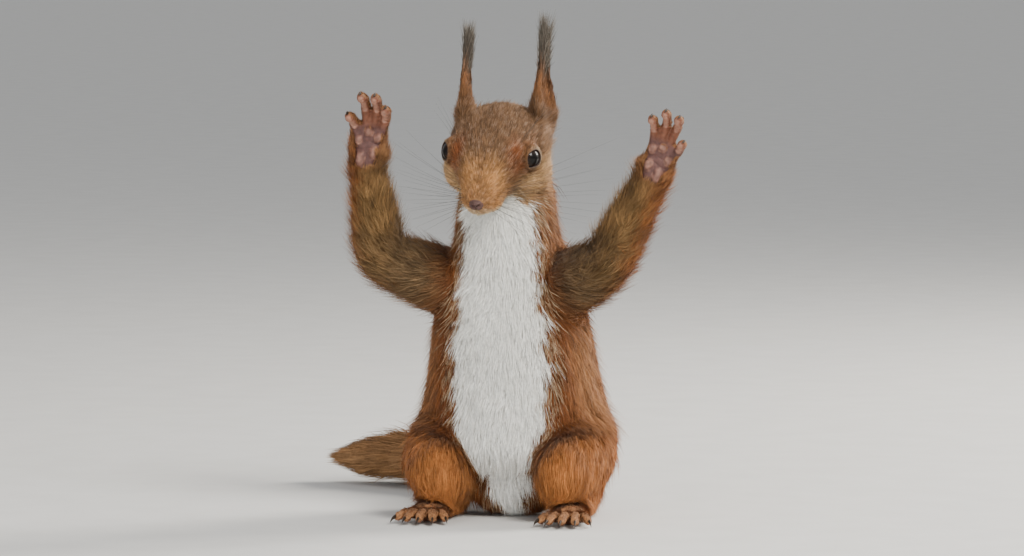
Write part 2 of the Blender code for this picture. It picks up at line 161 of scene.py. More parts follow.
# share of the bone's length, half thickness there
UPPER_ARM = ((0.0, 13.0), (0.5, 9.5), (1.0, 7.0))
FOREARM = ((0.0, 7.0), (0.35, 7.2), (0.75, 5.3), (1.0, 4.2))
SHOULDER_MASS = (14.5, 15, 16)
# x on the left side, y, z, half width, half depth
HAUNCH = (
    (21, 20, 29, 16, 17),
    (25.5, 6, 26.5, 14.5, 15.5),
    (27, -8, 23.5, 12.5, 12),
    (26.5, -18, 20.5, 9, 10),
)
SHANK = ((26, -15, 17, 9, 8), (27, 2, 13, 8.5, 7.5), (28, 14, 8.5, 5, 5))
FOOT = (
    (28, 16, 4.6, 4.0, 4.2),
    (28, 4, 4.4, 4.5, 4.2),
    (28.5, -10, 4.2, 5.5, 4.1),
    (29.5, -22, 3.6, 6.7, 3.6),
)
# x, y, z, half width, half height out to the tips of the hair
TAIL = (
    (0, 30, 27, 13, 13),
    (0, 47, 21, 15, 14),
    (-5, 67, 16, 18.5, 15),
    (-19, 87, 13.6, 21.5, 14.4),
    (-39, 103, 13, 22, 14),
    (-61, 113, 12.8, 21, 13.6),
    (-80, 118, 12.2, 17.5, 12.6),
    (-92, 120, 11.6, 11.5, 9.5),
    (-99, 121, 11.2, 4.5, 4.5),
)
TAIL_CORE = (7.5, 1.6)  # half size of the tail under its hair, at the root and at the tip
TAIL_CORE_END = 0.86  # share of the tail's length that the core reaches
for side, joints in ARMS.items():
    print(side, "forearm:", round(math.dist(joints["elbow"], joints["wrist"]), 1), "mm")

# %% [markdown]
# ## Tubes and masses
# Limbs are tubes of oval rings along a smooth curve, as a sculptor winds wire and clay. One helper
# eases a smooth curve through a few stations, one closes the ends, and one bridges the rings.


# %% Helpers for tubes and masses
def eased(rows, steps):
    """The rows of numbers with steps rows to each gap, on a smooth curve through them."""
    found = []
    for i in range(len(rows) - 1):
        stations = rows[max(i - 1, 0)], rows[i], rows[i + 1], rows[min(i + 2, len(rows) - 1)]
        for step in range(steps):
            t = step / steps
            row = []
            for a, b, c, d in zip(*stations):
                slope, dip, turn = c - a, 2 * a - 5 * b + 4 * c - d, 3 * b - a - 3 * c + d
                row.append(0.5 * (2 * b + slope * t + dip * t**2 + turn * t**3))
            found.append(tuple(row))
    return [*found, tuple(rows[-1])]


def domed(rows):
    """The rows with two more past each end, so that a tube through them closes in a round end."""

    def past(end, inner):
        way = (Vector(end[:3]) - Vector(inner[:3])).normalized()
        reach = min(end[3], end[4])
        return [
            (*(Vector(end[:3]) + way * reach * rise), end[3] * narrow, end[4] * narrow)
            for rise, narrow in ((0.5, 0.85), (0.85, 0.5))
        ]

    return [*reversed(past(rows[0], rows[1])), *rows, *past(rows[-1], rows[-2])]


def tube(bm, rows, side=(1, 0, 0), segments=20):
    """A closed tube of oval rings through rows of x, y, z, half width and half depth."""
    rows = domed(rows)
    before = None
    for i, row in enumerate(rows):
        along = Vector(rows[min(i + 1, len(rows) - 1)][:3]) - Vector(rows[max(i - 1, 0)][:3])
        along.normalize()
        across = Vector(side) - along * along.dot(Vector(side))
        across.normalize()
        turn = Matrix((across, along.cross(across), along)).transposed().to_4x4()
        place = Matrix.Translation(Vector(row[:3])) @ turn @ Matrix.Diagonal((row[3], row[4], 1, 1))
        ends = i in (0, len(rows) - 1)
        ring = bmesh.ops.create_circle(bm, cap_ends=ends, segments=segments, radius=1, matrix=place)["verts"]
        edges = {edge for vert in ring for edge in vert.link_edges if all(v in ring for v in edge.verts)}
        if before:
            bmesh.ops.bridge_loops(bm, edges=[*before, *edges])
        before = edges


def mass(bm, place, half_sizes, segments=20):
    """A rounded mass. Place is a matrix to its centre."""
    matrix = place @ Matrix.Diagonal((*half_sizes, 1))
    bmesh.ops.create_uvsphere(bm, u_segments=segments, v_segments=segments // 2, radius=1, matrix=matrix)


def between(start, end, share):
    """The point that lies that share of the way from start to end."""
    return Vector(start).lerp(Vector(end), share)


# %% [markdown]
# ## Where the animal stands in the shared frame
# The solids were moved so that their origin is the middle of the footprint. An eye is a plain ball, so
# the middle of its box gives that move exactly.


# %% The head's frame and the move
def head_frame():
    """From the head's frame, X left, Y out along the snout and Z up, to the animal's."""
    facing = Matrix(((1, 0, 0), (0, -1, 0), (0, 0, 1))).to_4x4()
    pitch = Matrix.Rotation(math.radians(HEAD_PITCH), 4, "X")
    roll = Matrix.Rotation(math.radians(HEAD_ROLL), 4, "Y")
    yaw = Matrix.Rotation(math.radians(HEAD_YAW), 4, "Z")
    return Matrix.Translation(HEAD_CENTRE) @ yaw @ roll @ pitch @ facing


TO_BODY = head_frame()
EYE_PLACE = Vector((15.3, 13.5, 3.3))
eye_low, eye_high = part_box("eye_left")
HOME = (eye_low + eye_high) / 2 - (TO_BODY @ EYE_PLACE) * MM
print("the animal's own origin lies at", [round(v, 4) for v in HOME])


def place_in_frame(mesh):
    """Turns a mesh in the animal's millimetres into one in the shared frame's metres."""
    mesh.transform(Matrix.Translation(HOME) @ Matrix.Scale(MM, 4))


# %% [markdown]
# ## The bare body
# The big forms are laid down first and fused into one surface by a voxel remesh, which is how clay
# lumps become one body. Smoothing then softens the joins into the folds of a real animal.


# %% Trunk, head, tail and limbs
def add_trunk(bm):
    tube(bm, eased([(0, y, z, w, d) for z, y, w, d in TRUNK], 3), segments=36)


def add_head(bm):
    rows = [(*(TO_BODY @ Vector((0, forward, up))), w, h) for forward, up, w, h in HEAD]
    tube(bm, eased(rows, 3), side=TO_BODY.to_3x3() @ Vector((1, 0, 0)), segments=32)
    for centre, sizes in HEAD_MASSES:
        for sign in SIDES.values():
            mass(bm, TO_BODY @ Matrix.Translation((centre[0] * sign, *centre[1:])), sizes)
    mass(bm, Matrix.Translation(NAPE[0]), NAPE[1])


def add_arm(bm, side):
    joints = ARMS[side]
    mass(bm, Matrix.Translation(joints["shoulder"]), SHOULDER_MASS)
    shoulder, elbow, wrist = (joints[name] for name in ("shoulder", "elbow", "wrist"))
    rows = [(*between(shoulder, elbow, share), half, half) for share, half in UPPER_ARM[:-1]]
    rows += [(*between(elbow, wrist, share), half, half * 0.9) for share, half in FOREARM]
    tube(bm, eased(rows, 4), side=(0, 1, 0.2), segments=24)


def add_leg(bm, sign):
    for chain in (HAUNCH, SHANK):
        tube(bm, eased([(x * sign, y, z, w, h) for x, y, z, w, h in chain], 4), segments=24)


tail_rows = eased(TAIL, 8)


def add_tail(bm):
    last = round(len(tail_rows) * TAIL_CORE_END)
    rows = []
    for i, row in enumerate(tail_rows[: last + 1]):
        half = TAIL_CORE[0] + (TAIL_CORE[1] - TAIL_CORE[0]) * (i / last) ** 0.8
        rows.append((*row[:3], half, half * 0.9))
    tube(bm, rows, side=(0.6, 0.8, 0), segments=20)


print("rings along the tail:", len(tail_rows))

# %% [markdown]
# The rings and masses overlap. A voxel remesh keeps only the outside of them all, in small even faces,
# and the smoothing after it melts the joins.


# %% Fusing the body
def mesh_object(name, bm):
    """The bmesh as an object, in millimetres."""
    bmesh.ops.recalc_face_normals(bm, faces=bm.faces)
    mesh = bpy.data.meshes.new(name)
    bm.to_mesh(mesh)
    bm.free()
    thing = bpy.data.objects.new(name, mesh)
    bpy.context.scene.collection.objects.link(thing)
    return thing


def applied(thing):
    """Applies the object's modifiers to its mesh."""
    bpy.context.view_layer.update()
    graph = bpy.context.evaluated_depsgraph_get()
    mesh = bpy.data.meshes.new_from_object(thing.evaluated_get(graph))
    thing.modifiers.clear()
    thing.data = mesh
    return thing


def fused(thing, voxel, smoothings):
    """Melts the object's overlapping shapes into one surface."""
    remesh = thing.modifiers.new("fuse", "REMESH")
    remesh.mode = "VOXEL"
    remesh.voxel_size = voxel
    smooth = thing.modifiers.new("soften", "SMOOTH")
    smooth.factor = 0.5
    smooth.iterations = smoothings
    return applied(thing)


bm = bmesh.new()
add_trunk(bm)
add_head(bm)
add_tail(bm)
for side, sign in SIDES.items():
    add_arm(bm, side)
    add_leg(bm, sign)
BODY_VOXEL, BODY_SMOOTHINGS = 1.3, 6
body = fused(mesh_object("body", bm), BODY_VOXEL, BODY_SMOOTHINGS)
print("fused body:", len(body.data.vertices), "points")

# %% [markdown]
# ## Hands, feet, ears and nose
# A squirrel's forefoot has four long fingers with a pad at each tip, three pads at their roots, two big
# pads at the wrist and a mere nub of a thumb. A hind foot has five toes. Both are added after the body
# is smoothed, so that they keep their fine shape.

# %% Sizes of the hands and feet
PALM_LENGTH = 16.0
PALM = ((-2.0, 4.4, 3.8), (3.0, 5.4, 3.6), (8.0, 6.2, 3.2), (PALM_LENGTH, 5.7, 2.6))
# across towards the thumb, along the palm, splay, bone lengths
FINGERS = (
    (4.4, 13.0, 14, (8.0, 5.8, 4.2)),
    (1.6, 15.2, 5, (9.4, 6.6, 4.6)),
    (-1.6, 15.0, -5, (9.4, 6.6, 4.6)),
    (-4.4, 10.2, -17, (6.8, 5.0, 3.8)),
)
THUMB_ROOT = (4.6, 0.8, 5.0)
THUMB = ((0, 1.6), (2.4, 1.1))  # how far out, half thickness there
FINGER_CURLS = (14, 50, 74)  # degrees that each bone leans over the palm
FINGER_RADIUS = 1.95
FINGER_TAPER = 0.93  # a finger's radius at its root, as a share of that at its tip
FINGER_BUMP = 0.1  # how much thinner a finger is between its joints
# across towards the thumb, out of the palm, along it, then half sizes
PALM_PADS = (
    ((2.9, 2.5, 6.2), (1.8, 2.0, 2.9)),
    ((-2.2, 2.7, 2.6), (2.2, 2.1, 3.8)),
    ((4.0, 2.2, 12.6), (1.7, 1.9, 2.0)),
    ((0.1, 2.5, 14.6), (2.0, 1.9, 1.8)),
    ((-3.9, 2.2, 10.6), (1.7, 1.9, 2.1)),
)
# lines across the palm: across towards the thumb, along it
PALM_LINES = (
    ((4.9, 7.6), (1.5, 8.2), (-2.0, 7.2), (-5.0, 7.0)),
    ((4.6, 9.6), (1.0, 10.8), (-1.8, 10.2), (-4.8, 8.8)),
    ((0.0, 0.0), (0.1, 6.0)),
    ((2.2, 10.6), (2.1, 16.0)),
    ((-2.0, 10.4), (-2.0, 16.0)),
)
# across from the foot's middle, splay, bone lengths
TOES = (
    (-5.8, -22, (4.8, 3.6, 3.0)),
    (-3.0, -10, (6.6, 4.8, 3.6)),
    (0.0, 0, (6.9, 5.0, 3.7)),
    (3.0, 10, (6.6, 4.8, 3.6)),
    (5.8, 24, (4.9, 3.6, 3.0)),
)
TOE_DROPS = (-16, 8, 24)  # degrees that each bone dips
TOE_RADIUS = 1.5
TOE_BUMP = 0.03
TIP = 0.86  # how far a digit narrows at its end
# webs at the roots of the fingers, given in the same way as the pads
WEBS = (((3.7, 0.2, 17.0), (1.5, 1.1, 3.2)), ((0.0, 0.2, 18.6), (1.4, 1.2, 4.0)))
# a claw's length, how far it is raised at its root and how far it bends in all, in radians
HAND_CLAW = (3.3, 0.1, 1.0)
FOOT_CLAW = (4.4, 0.45, 0.95)
print("one hand has", len(FINGERS), "fingers and", len(PALM_PADS), "pads; one foot has", len(TOES), "toes")

# %% [markdown]
# Every digit is one tube through its joints, a little thicker at each joint than between them, with a
# rounded pad at the end. Its claw, its folds and its paler underside come later, so the places for
# them are noted while the digit is laid down.

# %% A digit
claw_places = []  # root, way out, way it bends, the claw's own sizes
joint_places = []  # where a digit bends, its way there and its radius
pad_lines = []  # along the soft side of each digit


def digit(bm, root, along, over, lengths, angles, radius, claw, bump, taper=1.0):
    """A jointed digit that bends over. Taper is its radius at the root as a share of the tip's."""
    rows = [(*root, radius * 1.1 * taper, radius * 1.1 * taper)]
    point = Vector(root)
    side = along.cross(over)
    pads = []
    for bone, (length, angle) in enumerate(zip(lengths, angles), 1):
        turn = math.radians(angle)
        way = along * math.cos(turn) + over * math.sin(turn)
        thin = radius * (1 - bump) * (taper + (1 - taper) * (bone - 0.5) / len(lengths))
        rows.append((*(point + way * length * 0.5), thin, thin))
        point = point + way * length
        thick = radius * (1 + bump / 2) * (taper + (1 - taper) * bone / len(lengths))
        if bone == len(lengths):
            thick *= TIP
        rows.append((*point, thick, thick))
        joint_places.append((point, way, radius))
        down = side.cross(way).normalized()
        pads.append(point + down * radius * 0.8)
    tube(bm, eased(rows, 3), side=side, segments=14)
    pad = Matrix.Translation(point - way * radius * 0.5 + down * radius * 0.3)
    mass(bm, pad, (radius * 0.98,) * 3, 12)
    claw_places.append((point + way * radius * 0.45 - down * radius * 0.55, way, down, claw))
    pads[-1] = point + (down * 0.9 + way * 0.5) * radius * 0.8
    pad_lines.append(pads)


print("longest finger, straight:", round(max(sum(row[3]) for row in FINGERS), 1), "mm")

# %% [markdown]
# A hand is a flat oval tube from the wrist to the fingers' roots, with the pads on its palm and a low
# web of skin between the fingers. A foot is a longer tube that lies along the floor.


# %% Hands and feet
def hand_frame(side):
    """From the hand's frame, X to the thumb, Y out of the palm and Z along the fingers, at the wrist."""
    joints = ARMS[side]
    along = (Vector(joints["reach"]) - Vector(joints["wrist"])).normalized()
    palm = Vector((0, -1, 0))
    palm = (palm - along * palm.dot(along)).normalized()
    thumb = palm.cross(along)
    if thumb.x * SIDES[side] > 0:
        thumb = -thumb
    return Matrix.Translation(joints["wrist"]) @ Matrix((thumb, palm, along)).transposed().to_4x4()


def add_hand(bm, side):
    place = hand_frame(side)
    thumb, palm, along = (place.to_3x3().col[i] for i in range(3))
    tube(bm, eased([(*(place @ Vector((0, 0, z))), w, t) for z, w, t in PALM], 3), side=thumb, segments=20)
    for centre, sizes in (*PALM_PADS, *WEBS):
        mass(bm, place @ Matrix.Translation(centre), sizes, 14)
    for across, height, splay, lengths in FINGERS:
        way = along * math.cos(math.radians(splay)) + thumb * math.sin(math.radians(splay))
        root = place @ Vector((across, 0, height))
        shape = FINGER_CURLS, FINGER_RADIUS, HAND_CLAW, FINGER_BUMP, FINGER_TAPER
        digit(bm, root, way, palm, lengths, *shape)
    root = place @ Vector(THUMB_ROOT)
    rows = [(*(root + thumb * reach + along * reach * 0.5), half, half) for reach, half in THUMB]
    tube(bm, rows, side=palm, segments=10)


def add_foot(bm, sign):
    tube(bm, eased([(x * sign, y, z, w, h) for x, y, z, w, h in FOOT], 3), segments=20)
    ball = Vector((FOOT[-1][0] * sign, FOOT[-1][1] - 1, FOOT[-1][2] - 0.6))
    for across, splay, lengths in TOES:
        way = Vector((math.sin(math.radians(splay)) * sign, -math.cos(math.radians(splay)), 0))
        root = ball + Vector((across * sign, 0, 0))
        digit(bm, root, way, Vector((0, 0, -1)), lengths, TOE_DROPS, TOE_RADIUS, FOOT_CLAW, TOE_BUMP)


print("the left palm faces", [round(v, 2) for v in hand_frame("left").col[1][:3]])

# %% [markdown]
# The ear is a cupped leaf that stands upright with its opening turned to the side. Each of its rings is
# a crescent, and the rings narrow to the tip that carries the tuft.

# %% Ears and nose
EARS = {
    "right": {"root": (-17.3, -9, 158), "lean": 2.5},
    "left": {"root": (15.2, -9, 158.6), "lean": 0.8},
}
EAR_HEIGHT = 29.0
EAR_HALF_WIDTH = 7.6
EAR_CUP = 3.6  # how deep the leaf is hollowed
EAR_WALL = 2.0
EAR_TURN = 76  # degrees that the opening is turned to the side
EAR_TUCK = 3.5  # how far the root is drawn into the head
NOSE = ((0.0, 38.9, -4.7), (2.5, 1.9, 1.9))  # centre, then half sizes


def ear_frame(side):
    """From the ear's frame, X across it, Y out of its opening and Z up to its tip, to the animal's."""
    facing = Matrix.Rotation(math.radians(180 + EAR_TURN * SIDES[side]), 4, "Z")
    lean = Matrix.Rotation(math.radians(EARS[side]["lean"]), 4, "Y")
    return Matrix.Translation(EARS[side]["root"]) @ lean @ facing


def add_ear(bm, side):
    place = ear_frame(side)
    levels, columns = 13, 9
    before = None
    for level in range(levels):
        share = level / (levels - 1)
        half = EAR_HALF_WIDTH * (0.85 + 0.5 * share - 1.0 * share**4) - 0.5
        wall = EAR_WALL * (1.5 - 0.8 * share)
        cup = EAR_CUP * (1 - 0.5 * share)
        tuck = EAR_TUCK * max(0, 1 - 2.5 * share)
        outer, inner = [], []
        for column in range(columns):
            across = 2 * column / (columns - 1) - 1
            bow = cup * (across**2 - 0.4) - tuck
            thick = wall * (1 - 0.3 * across**2)
            height = EAR_HEIGHT * share - 3
            outer.append(place @ Vector((across * half, bow - thick / 2, height)))
            inner.append(place @ Vector((across * half * 0.93, bow + thick / 2, height)))
        ring = [bm.verts.new(point) for point in outer + inner[::-1]]
        edges = [bm.edges.new((ring[i], ring[(i + 1) % len(ring)])) for i in range(len(ring))]
        if before:
            bmesh.ops.bridge_loops(bm, edges=[*before, *edges])
        if level in (0, levels - 1):
            bm.faces.new(ring)
        before = edges


ear_tip = ear_frame("left") @ Vector((0, 0, EAR_HEIGHT))
print("the left ear's tip:", [round(v) for v in ear_tip], "mm")

# %% [markdown]
# The hands, feet, ears and nose are added to the fused body, and all of it is fused once more with a
# finer grain, so that the skin has no seam at a wrist or at an ear's root.

# %% Fusing the skin
FINE_VOXEL, FINE_SMOOTHINGS = 0.6, 2
bm = bmesh.new()
bm.from_mesh(body.data)
for side, sign in SIDES.items():
    add_hand(bm, side)
    add_foot(bm, sign)
    add_ear(bm, side)
mass(bm, TO_BODY @ Matrix.Translation(NOSE[0]), NOSE[1], 16)
bpy.data.objects.remove(body)
skin = fused(mesh_object("skin", bm), FINE_VOXEL, FINE_SMOOTHINGS)
print("skin:", len(skin.data.vertices), "points,", len(claw_places), "claws to come")

# %% [markdown]
# ## Fewer faces where fur will hide them
# The remesh gives every part the same grain. Face, hands and feet show bare skin, so a vertex group
# keeps their points, and the rest of the body gives up most of its own.

# %% Thinning the hidden skin
SKIN_TRIANGLES = 105000
HAND_REACH = 40  # no finger reaches further than this from its wrist


def points_of(mesh, what="co"):
    """The mesh's points as an array, or another triple that each of them has."""
    found = np.empty(len(mesh.vertices) * 3, np.float32)
    mesh.vertices.foreach_get(what, found)
    return found.reshape(-1, 3)


def normals_of(mesh):
    """The way out from the mesh at each of its points."""
    return points_of(mesh, "normal")


def in_frame(points, matrix):
    """The points in the frame that the matrix leads from."""
    back = np.array(matrix.inverted())
    return points @ back[:3, :3].T + back[:3, 3]


def ways_in(ways, matrix):
    """The ways, such as normals, in the frame that the matrix leads from."""
    return ways @ np.array(matrix.to_3x3())


def within(local, reach, lowest=-math.inf):
    """Whether each point is within reach of its frame's origin, and above that level in it."""
    return (np.linalg.norm(local, axis=1) < reach) & (local[:, 2] > lowest)


points = points_of(skin.data)
in_head = in_frame(points, TO_BODY)
bare = np.zeros(len(points))
bare[(in_head[:, 1] > 4) & (np.abs(in_head[:, 0]) < 25) & (np.abs(in_head[:, 2]) < 20)] = 1
for side in SIDES:
    in_hand = in_frame(points, hand_frame(side))
    bare[(np.abs(in_hand) < 30).all(axis=1) & (in_hand[:, 2] > -6)] = 1
bare[(points[:, 2] < 9) & (points[:, 1] < 22)] = 1
group = skin.vertex_groups.new(name="hidden")
group.add([int(i) for i in np.flatnonzero(bare == 0)], 1.0, "REPLACE")
fewer = skin.modifiers.new("fewer", "DECIMATE")
skin.data.calc_loop_triangles()
fewer.ratio = min(1.0, SKIN_TRIANGLES / len(skin.data.loop_triangles))
fewer.vertex_group = "hidden"
fewer.vertex_group_factor = 3.0
applied(skin)
skin.vertex_groups.clear()
print("skin after thinning:", len(skin.data.vertices), "points")

# %% [markdown]
# ## Lids, nostrils and lips
# The face is finished by moving points, as a carver finishes a head. First the faces round the eyes,
# nose and mouth are divided for a finer grain. Then the skin is drawn up over each eyeball to a lid,
# and grooves are pressed in for the nostrils, the cleft of the lip and the closed mouth.

# %% The eye's frame and the lids' measures
EYE_RADIUS = 5.2
EYE_AXIS = Vector((0.78, 0.56, 0.28)).normalized()  # the left eye's way, in the head's frame
EYE_SINK = 0.1
LID_HALF = (3.65, 3.05)  # half width and half height of the opening
LID_THICK = 0.4
FACE_REACH = 14  # how far out the face's markings follow the lids


def eye_frame(side):
    """From the eye's frame, X to its front corner, Y up to its brow and Z out of it, to the animal's."""
    sign = SIDES[side]
    out = Vector((EYE_AXIS.x * sign, EYE_AXIS.y, EYE_AXIS.z))
    centre = Vector((EYE_PLACE.x * sign, EYE_PLACE.y, EYE_PLACE.z)) - out * EYE_SINK
    front = Vector((0, 1, -0.5))
    front = (front - out * front.dot(out)).normalized()
    brow = out.cross(front)
    if brow.z < 0:
        brow = -brow
    return TO_BODY @ (Matrix.Translation(centre) @ Matrix((front, brow, out)).transposed().to_4x4())


def step_up(value, low, high):
    """0 below low, 1 above high, and a smooth rise between."""
    share = np.clip((value - low) / (high - low), 0, 1)
    return share * share * (3 - 2 * share)


def lid_share(local):
    """How far out a point lies from the middle of the eye: 1 on the edge of the lids."""
    across = local[:, 0] / LID_HALF[0]
    corner = np.clip(np.abs(across), 0, 1.6) ** 2
    half = LID_HALF[1] * np.where(across > 0, 1 - 0.42 * corner, 1 - 0.16 * corner)
    return np.sqrt(across**2 + (local[:, 1] / np.maximum(half, 1.0)) ** 2)


print("the eye's middle, left side:", [round(v, 1) for v in eye_frame("left").translation], "mm")

# %% [markdown]
# The mouth, the nostrils and the cleft of the lip are drawn as paths through a few places, and each
# path is then dropped onto the skin so that its groove is as deep at every step.

# %% Paths of the mouth and nose
# left, forward and up in the head's frame, from the middle of the face outwards
MOUTH = ((0.0, 39.2, -10.4), (3.0, 36.6, -11.2), (5.6, 31.5, -12.6), (6.6, 26.5, -13.2), (6.9, 23.0, -12.4))
NOSTRIL = ((0.85, 41.2, -4.9), (1.5, 41.0, -4.3), (2.2, 40.2, -4.2))
CLEFT = ((0.0, 41.2, -5.2), (0.0, 41.0, -7.0), (0.0, 39.6, -10.0))


def distance_to_path(points, path):
    """The distance from each point to a line through the path's own points."""
    best = np.full(len(points), 1e9)
    for a, b in zip(path[:-1], path[1:]):
        a, b = np.array(a, float), np.array(b, float)
        along = np.clip(((points - a) @ (b - a)) / max((b - a) @ (b - a), 1e-9), 0, 1)
        best = np.minimum(best, np.linalg.norm(points - a - along[:, None] * (b - a), axis=1))
    return best


skin_tree = BVHTree.FromPolygons(
    [v.co for v in skin.data.vertices], [tuple(p.vertices) for p in skin.data.polygons]
)


def on_skin(path, sign=1):
    """The path in the head's frame, mirrored by the sign and drawn onto the skin at short steps."""
    found = []
    for a, b in zip(path[:-1], path[1:]):
        for step in range(5):
            point = Vector((a[0] * sign, *a[1:])).lerp(Vector((b[0] * sign, *b[1:])), step / 4)
            place = skin_tree.find_nearest(TO_BODY @ point)[0]
            found.append(tuple(TO_BODY.inverted() @ place))
    return found


mouth = [on_skin(MOUTH, sign) for sign in SIDES.values()]
nostrils = [on_skin(NOSTRIL, sign) for sign in SIDES.values()]
cleft = on_skin(CLEFT)
print("the mouth is drawn through", sum(len(path) for path in mouth), "places on the skin")

# %% [markdown]
# The lids, the lips and the palms need finer faces than the rest of the skin, so only the faces there
# are cut in four before anything is carved.

# %% Finer faces where the carving goes
bm = bmesh.new()
bm.from_mesh(skin.data)
points = points_of(skin.data)
near = np.zeros(len(points), bool)
for side in SIDES:
    local = in_frame(points, eye_frame(side))
    near |= (lid_share(local) < 2.0) & (local[:, 2] > -3)
in_head = in_frame(points, TO_BODY)
near |= (in_head[:, 1] > 33) & (np.abs(in_head[:, 0]) < 9) & (np.abs(in_head[:, 2]) < 14)
near |= np.minimum(*(distance_to_path(in_head, path) for path in mouth)) < 1.8
for side in SIDES:
    local = in_frame(points, hand_frame(side))
    facing = ways_in(normals_of(skin.data), hand_frame(side))
    inner = facing[:, 1] * 0.8 - facing[:, 2] * 0.5
    near |= within(local, HAND_REACH, -4) & (inner > 0.1)
bm.verts.ensure_lookup_table()
chosen = {edge for i in np.flatnonzero(near) for edge in bm.verts[i].link_edges}
bmesh.ops.subdivide_edges(bm, edges=list(chosen), cuts=1, use_grid_fill=True, smooth=0.2)
bmesh.ops.triangulate(bm, faces=[face for face in bm.faces if len(face.verts) > 4])
bm.to_mesh(skin.data)
bm.free()
print("edges cut:", len(chosen))

# %% [markdown]
# Each lid follows the ball of its eye and stands a little proud of it, and the skin between the lids is
# drawn in behind the ball. The nostrils, the mouth, the folds over the joints and the palm's lines are
# pressed in along their paths.

# %% Carving the lids, the mouth and the folds
points = points_of(skin.data).astype(float)
for side in SIDES:
    place = eye_frame(side)
    local = in_frame(points, place)
    share = lid_share(local)
    touched = (share < 2.1) & within(local, 11, -2.5)
    here, rho = local[touched], share[touched]
    off_axis = here[:, 0] ** 2 + here[:, 1] ** 2
    ball = np.sqrt(np.maximum(EYE_RADIUS**2 - off_axis, 0.2))
    rim = np.sqrt(np.maximum(EYE_RADIUS**2 - off_axis / np.maximum(rho, 1) ** 2, 0.2))
    lid = rim + LID_THICK * (1 - step_up(rho, 1.15, 1.5) * 0.6)
    outside = lid + (here[:, 2] - lid) * step_up(rho, 1.12, 1.95)
    hidden = ball - 1.1
    here[:, 2] = hidden + (outside - hidden) * step_up(rho, 0.93, 1.03)
    matrix = np.array(place)
    points[touched] = here @ matrix[:3, :3].T + matrix[:3, 3]

in_head = in_frame(points, TO_BODY)
press = np.zeros(len(points))
for paths, pressed, half_width in ((nostrils, 1.6, 0.55), (mouth, 0.8, 0.55), ([cleft], 0.7, 0.4)):
    for path in paths:
        press += pressed * np.exp(-((distance_to_path(in_head, path) / half_width) ** 2))
for place, way, radius in joint_places:
    apart = points - np.array(place)
    along = apart @ np.array(way)
    close = np.linalg.norm(apart, axis=1) < radius * 1.7
    press += close * (0.3 * np.exp(-((along / 0.28) ** 2)) + 0.16 * np.exp(-(((along + 1.5) / 0.22) ** 2)))
for side in SIDES:
    local = in_frame(points, hand_frame(side))
    for path in PALM_LINES:
        gap = distance_to_path(local * np.array((1, 0, 1)), [(x, 0, z) for x, z in path])
        press += 0.3 * np.exp(-((gap / 0.3) ** 2)) * (np.abs(local[:, 1] - 3) < 3)
points -= normals_of(skin.data) * press[:, None]
points[:, 2] = np.maximum(points[:, 2], 0.25)
skin.data.vertices.foreach_set("co", points.astype(np.float32).ravel())
skin.data.update()
skin.data.shade_smooth()
print("face carved; skin triangles about", sum(len(p.vertices) - 2 for p in skin.data.polygons))

# %% [markdown]
# ## A lighter copy to comb on
# The coat's roots, its lie and its colours are worked out on a lighter copy of the skin. Its unwrap
# gives every tuft a place on a map of the animal's own shape, for anyone who bakes the colours.

# %% The hide
HIDE_TRIANGLES = 26000
hide = bpy.data.objects.new("hide", skin.data.copy())
bpy.context.scene.collection.objects.link(hide)
hide.modifiers.new("tri", "TRIANGULATE")
fewer = hide.modifiers.new("fewer", "DECIMATE")
fewer.ratio = HIDE_TRIANGLES / sum(len(p.vertices) - 2 for p in skin.data.polygons)
applied(hide)
bpy.context.view_layer.objects.active = hide
for thing in bpy.context.selected_objects:
    thing.select_set(False)
hide.select_set(True)
bpy.ops.object.mode_set(mode="EDIT")
bpy.ops.mesh.select_all(action="SELECT")
bpy.ops.uv.smart_project(angle_limit=math.radians(66), island_margin=0.004)
bpy.ops.object.mode_set(mode="OBJECT")
hide.select_set(False)

mesh = hide.data
mesh.calc_loop_triangles()
hide_points = points_of(mesh).astype(float)
hide_normals = normals_of(mesh).astype(float)
corners = np.empty(len(mesh.loop_triangles) * 3, np.int32)
mesh.loop_triangles.foreach_get("vertices", corners)
corners = corners.reshape(-1, 3)
corner_loops = np.empty(len(mesh.loop_triangles) * 3, np.int32)
mesh.loop_triangles.foreach_get("loops", corner_loops)
map_places = np.empty(len(mesh.loops) * 2, np.float32)
mesh.uv_layers.active.data.foreach_get("uv", map_places)
corner_map = map_places.reshape(-1, 2)[corner_loops].reshape(-1, 3, 2)
tree = BVHTree.FromPolygons(
    [tuple(p) for p in hide_points], [tuple(int(i) for i in c) for c in corners]
)
first, second, third = (hide_points[corners[:, i]] for i in range(3))
areas = np.linalg.norm(np.cross(second - first, third - first), axis=1) / 2
print("hide:", len(corners), "triangles, area", round(float(areas.sum())), "square mm")
bpy.data.objects.remove(hide)

# %% [markdown]
# ## Which part of the body a point belongs to
# Fur is long on the tail and short on the nose, and each part has its own lie and colour. Every part is
# stood for by a few rods with a thickness. A point belongs to the rod whose surface is nearest, and
# where two are near it belongs to both in shares, so nothing changes at a hard line.

# %% Rods for the parts
PARTS = ("trunk", "neck", "head", "ear", "arm", "forearm", "hand", "haunch", "shank", "foot", "tail")


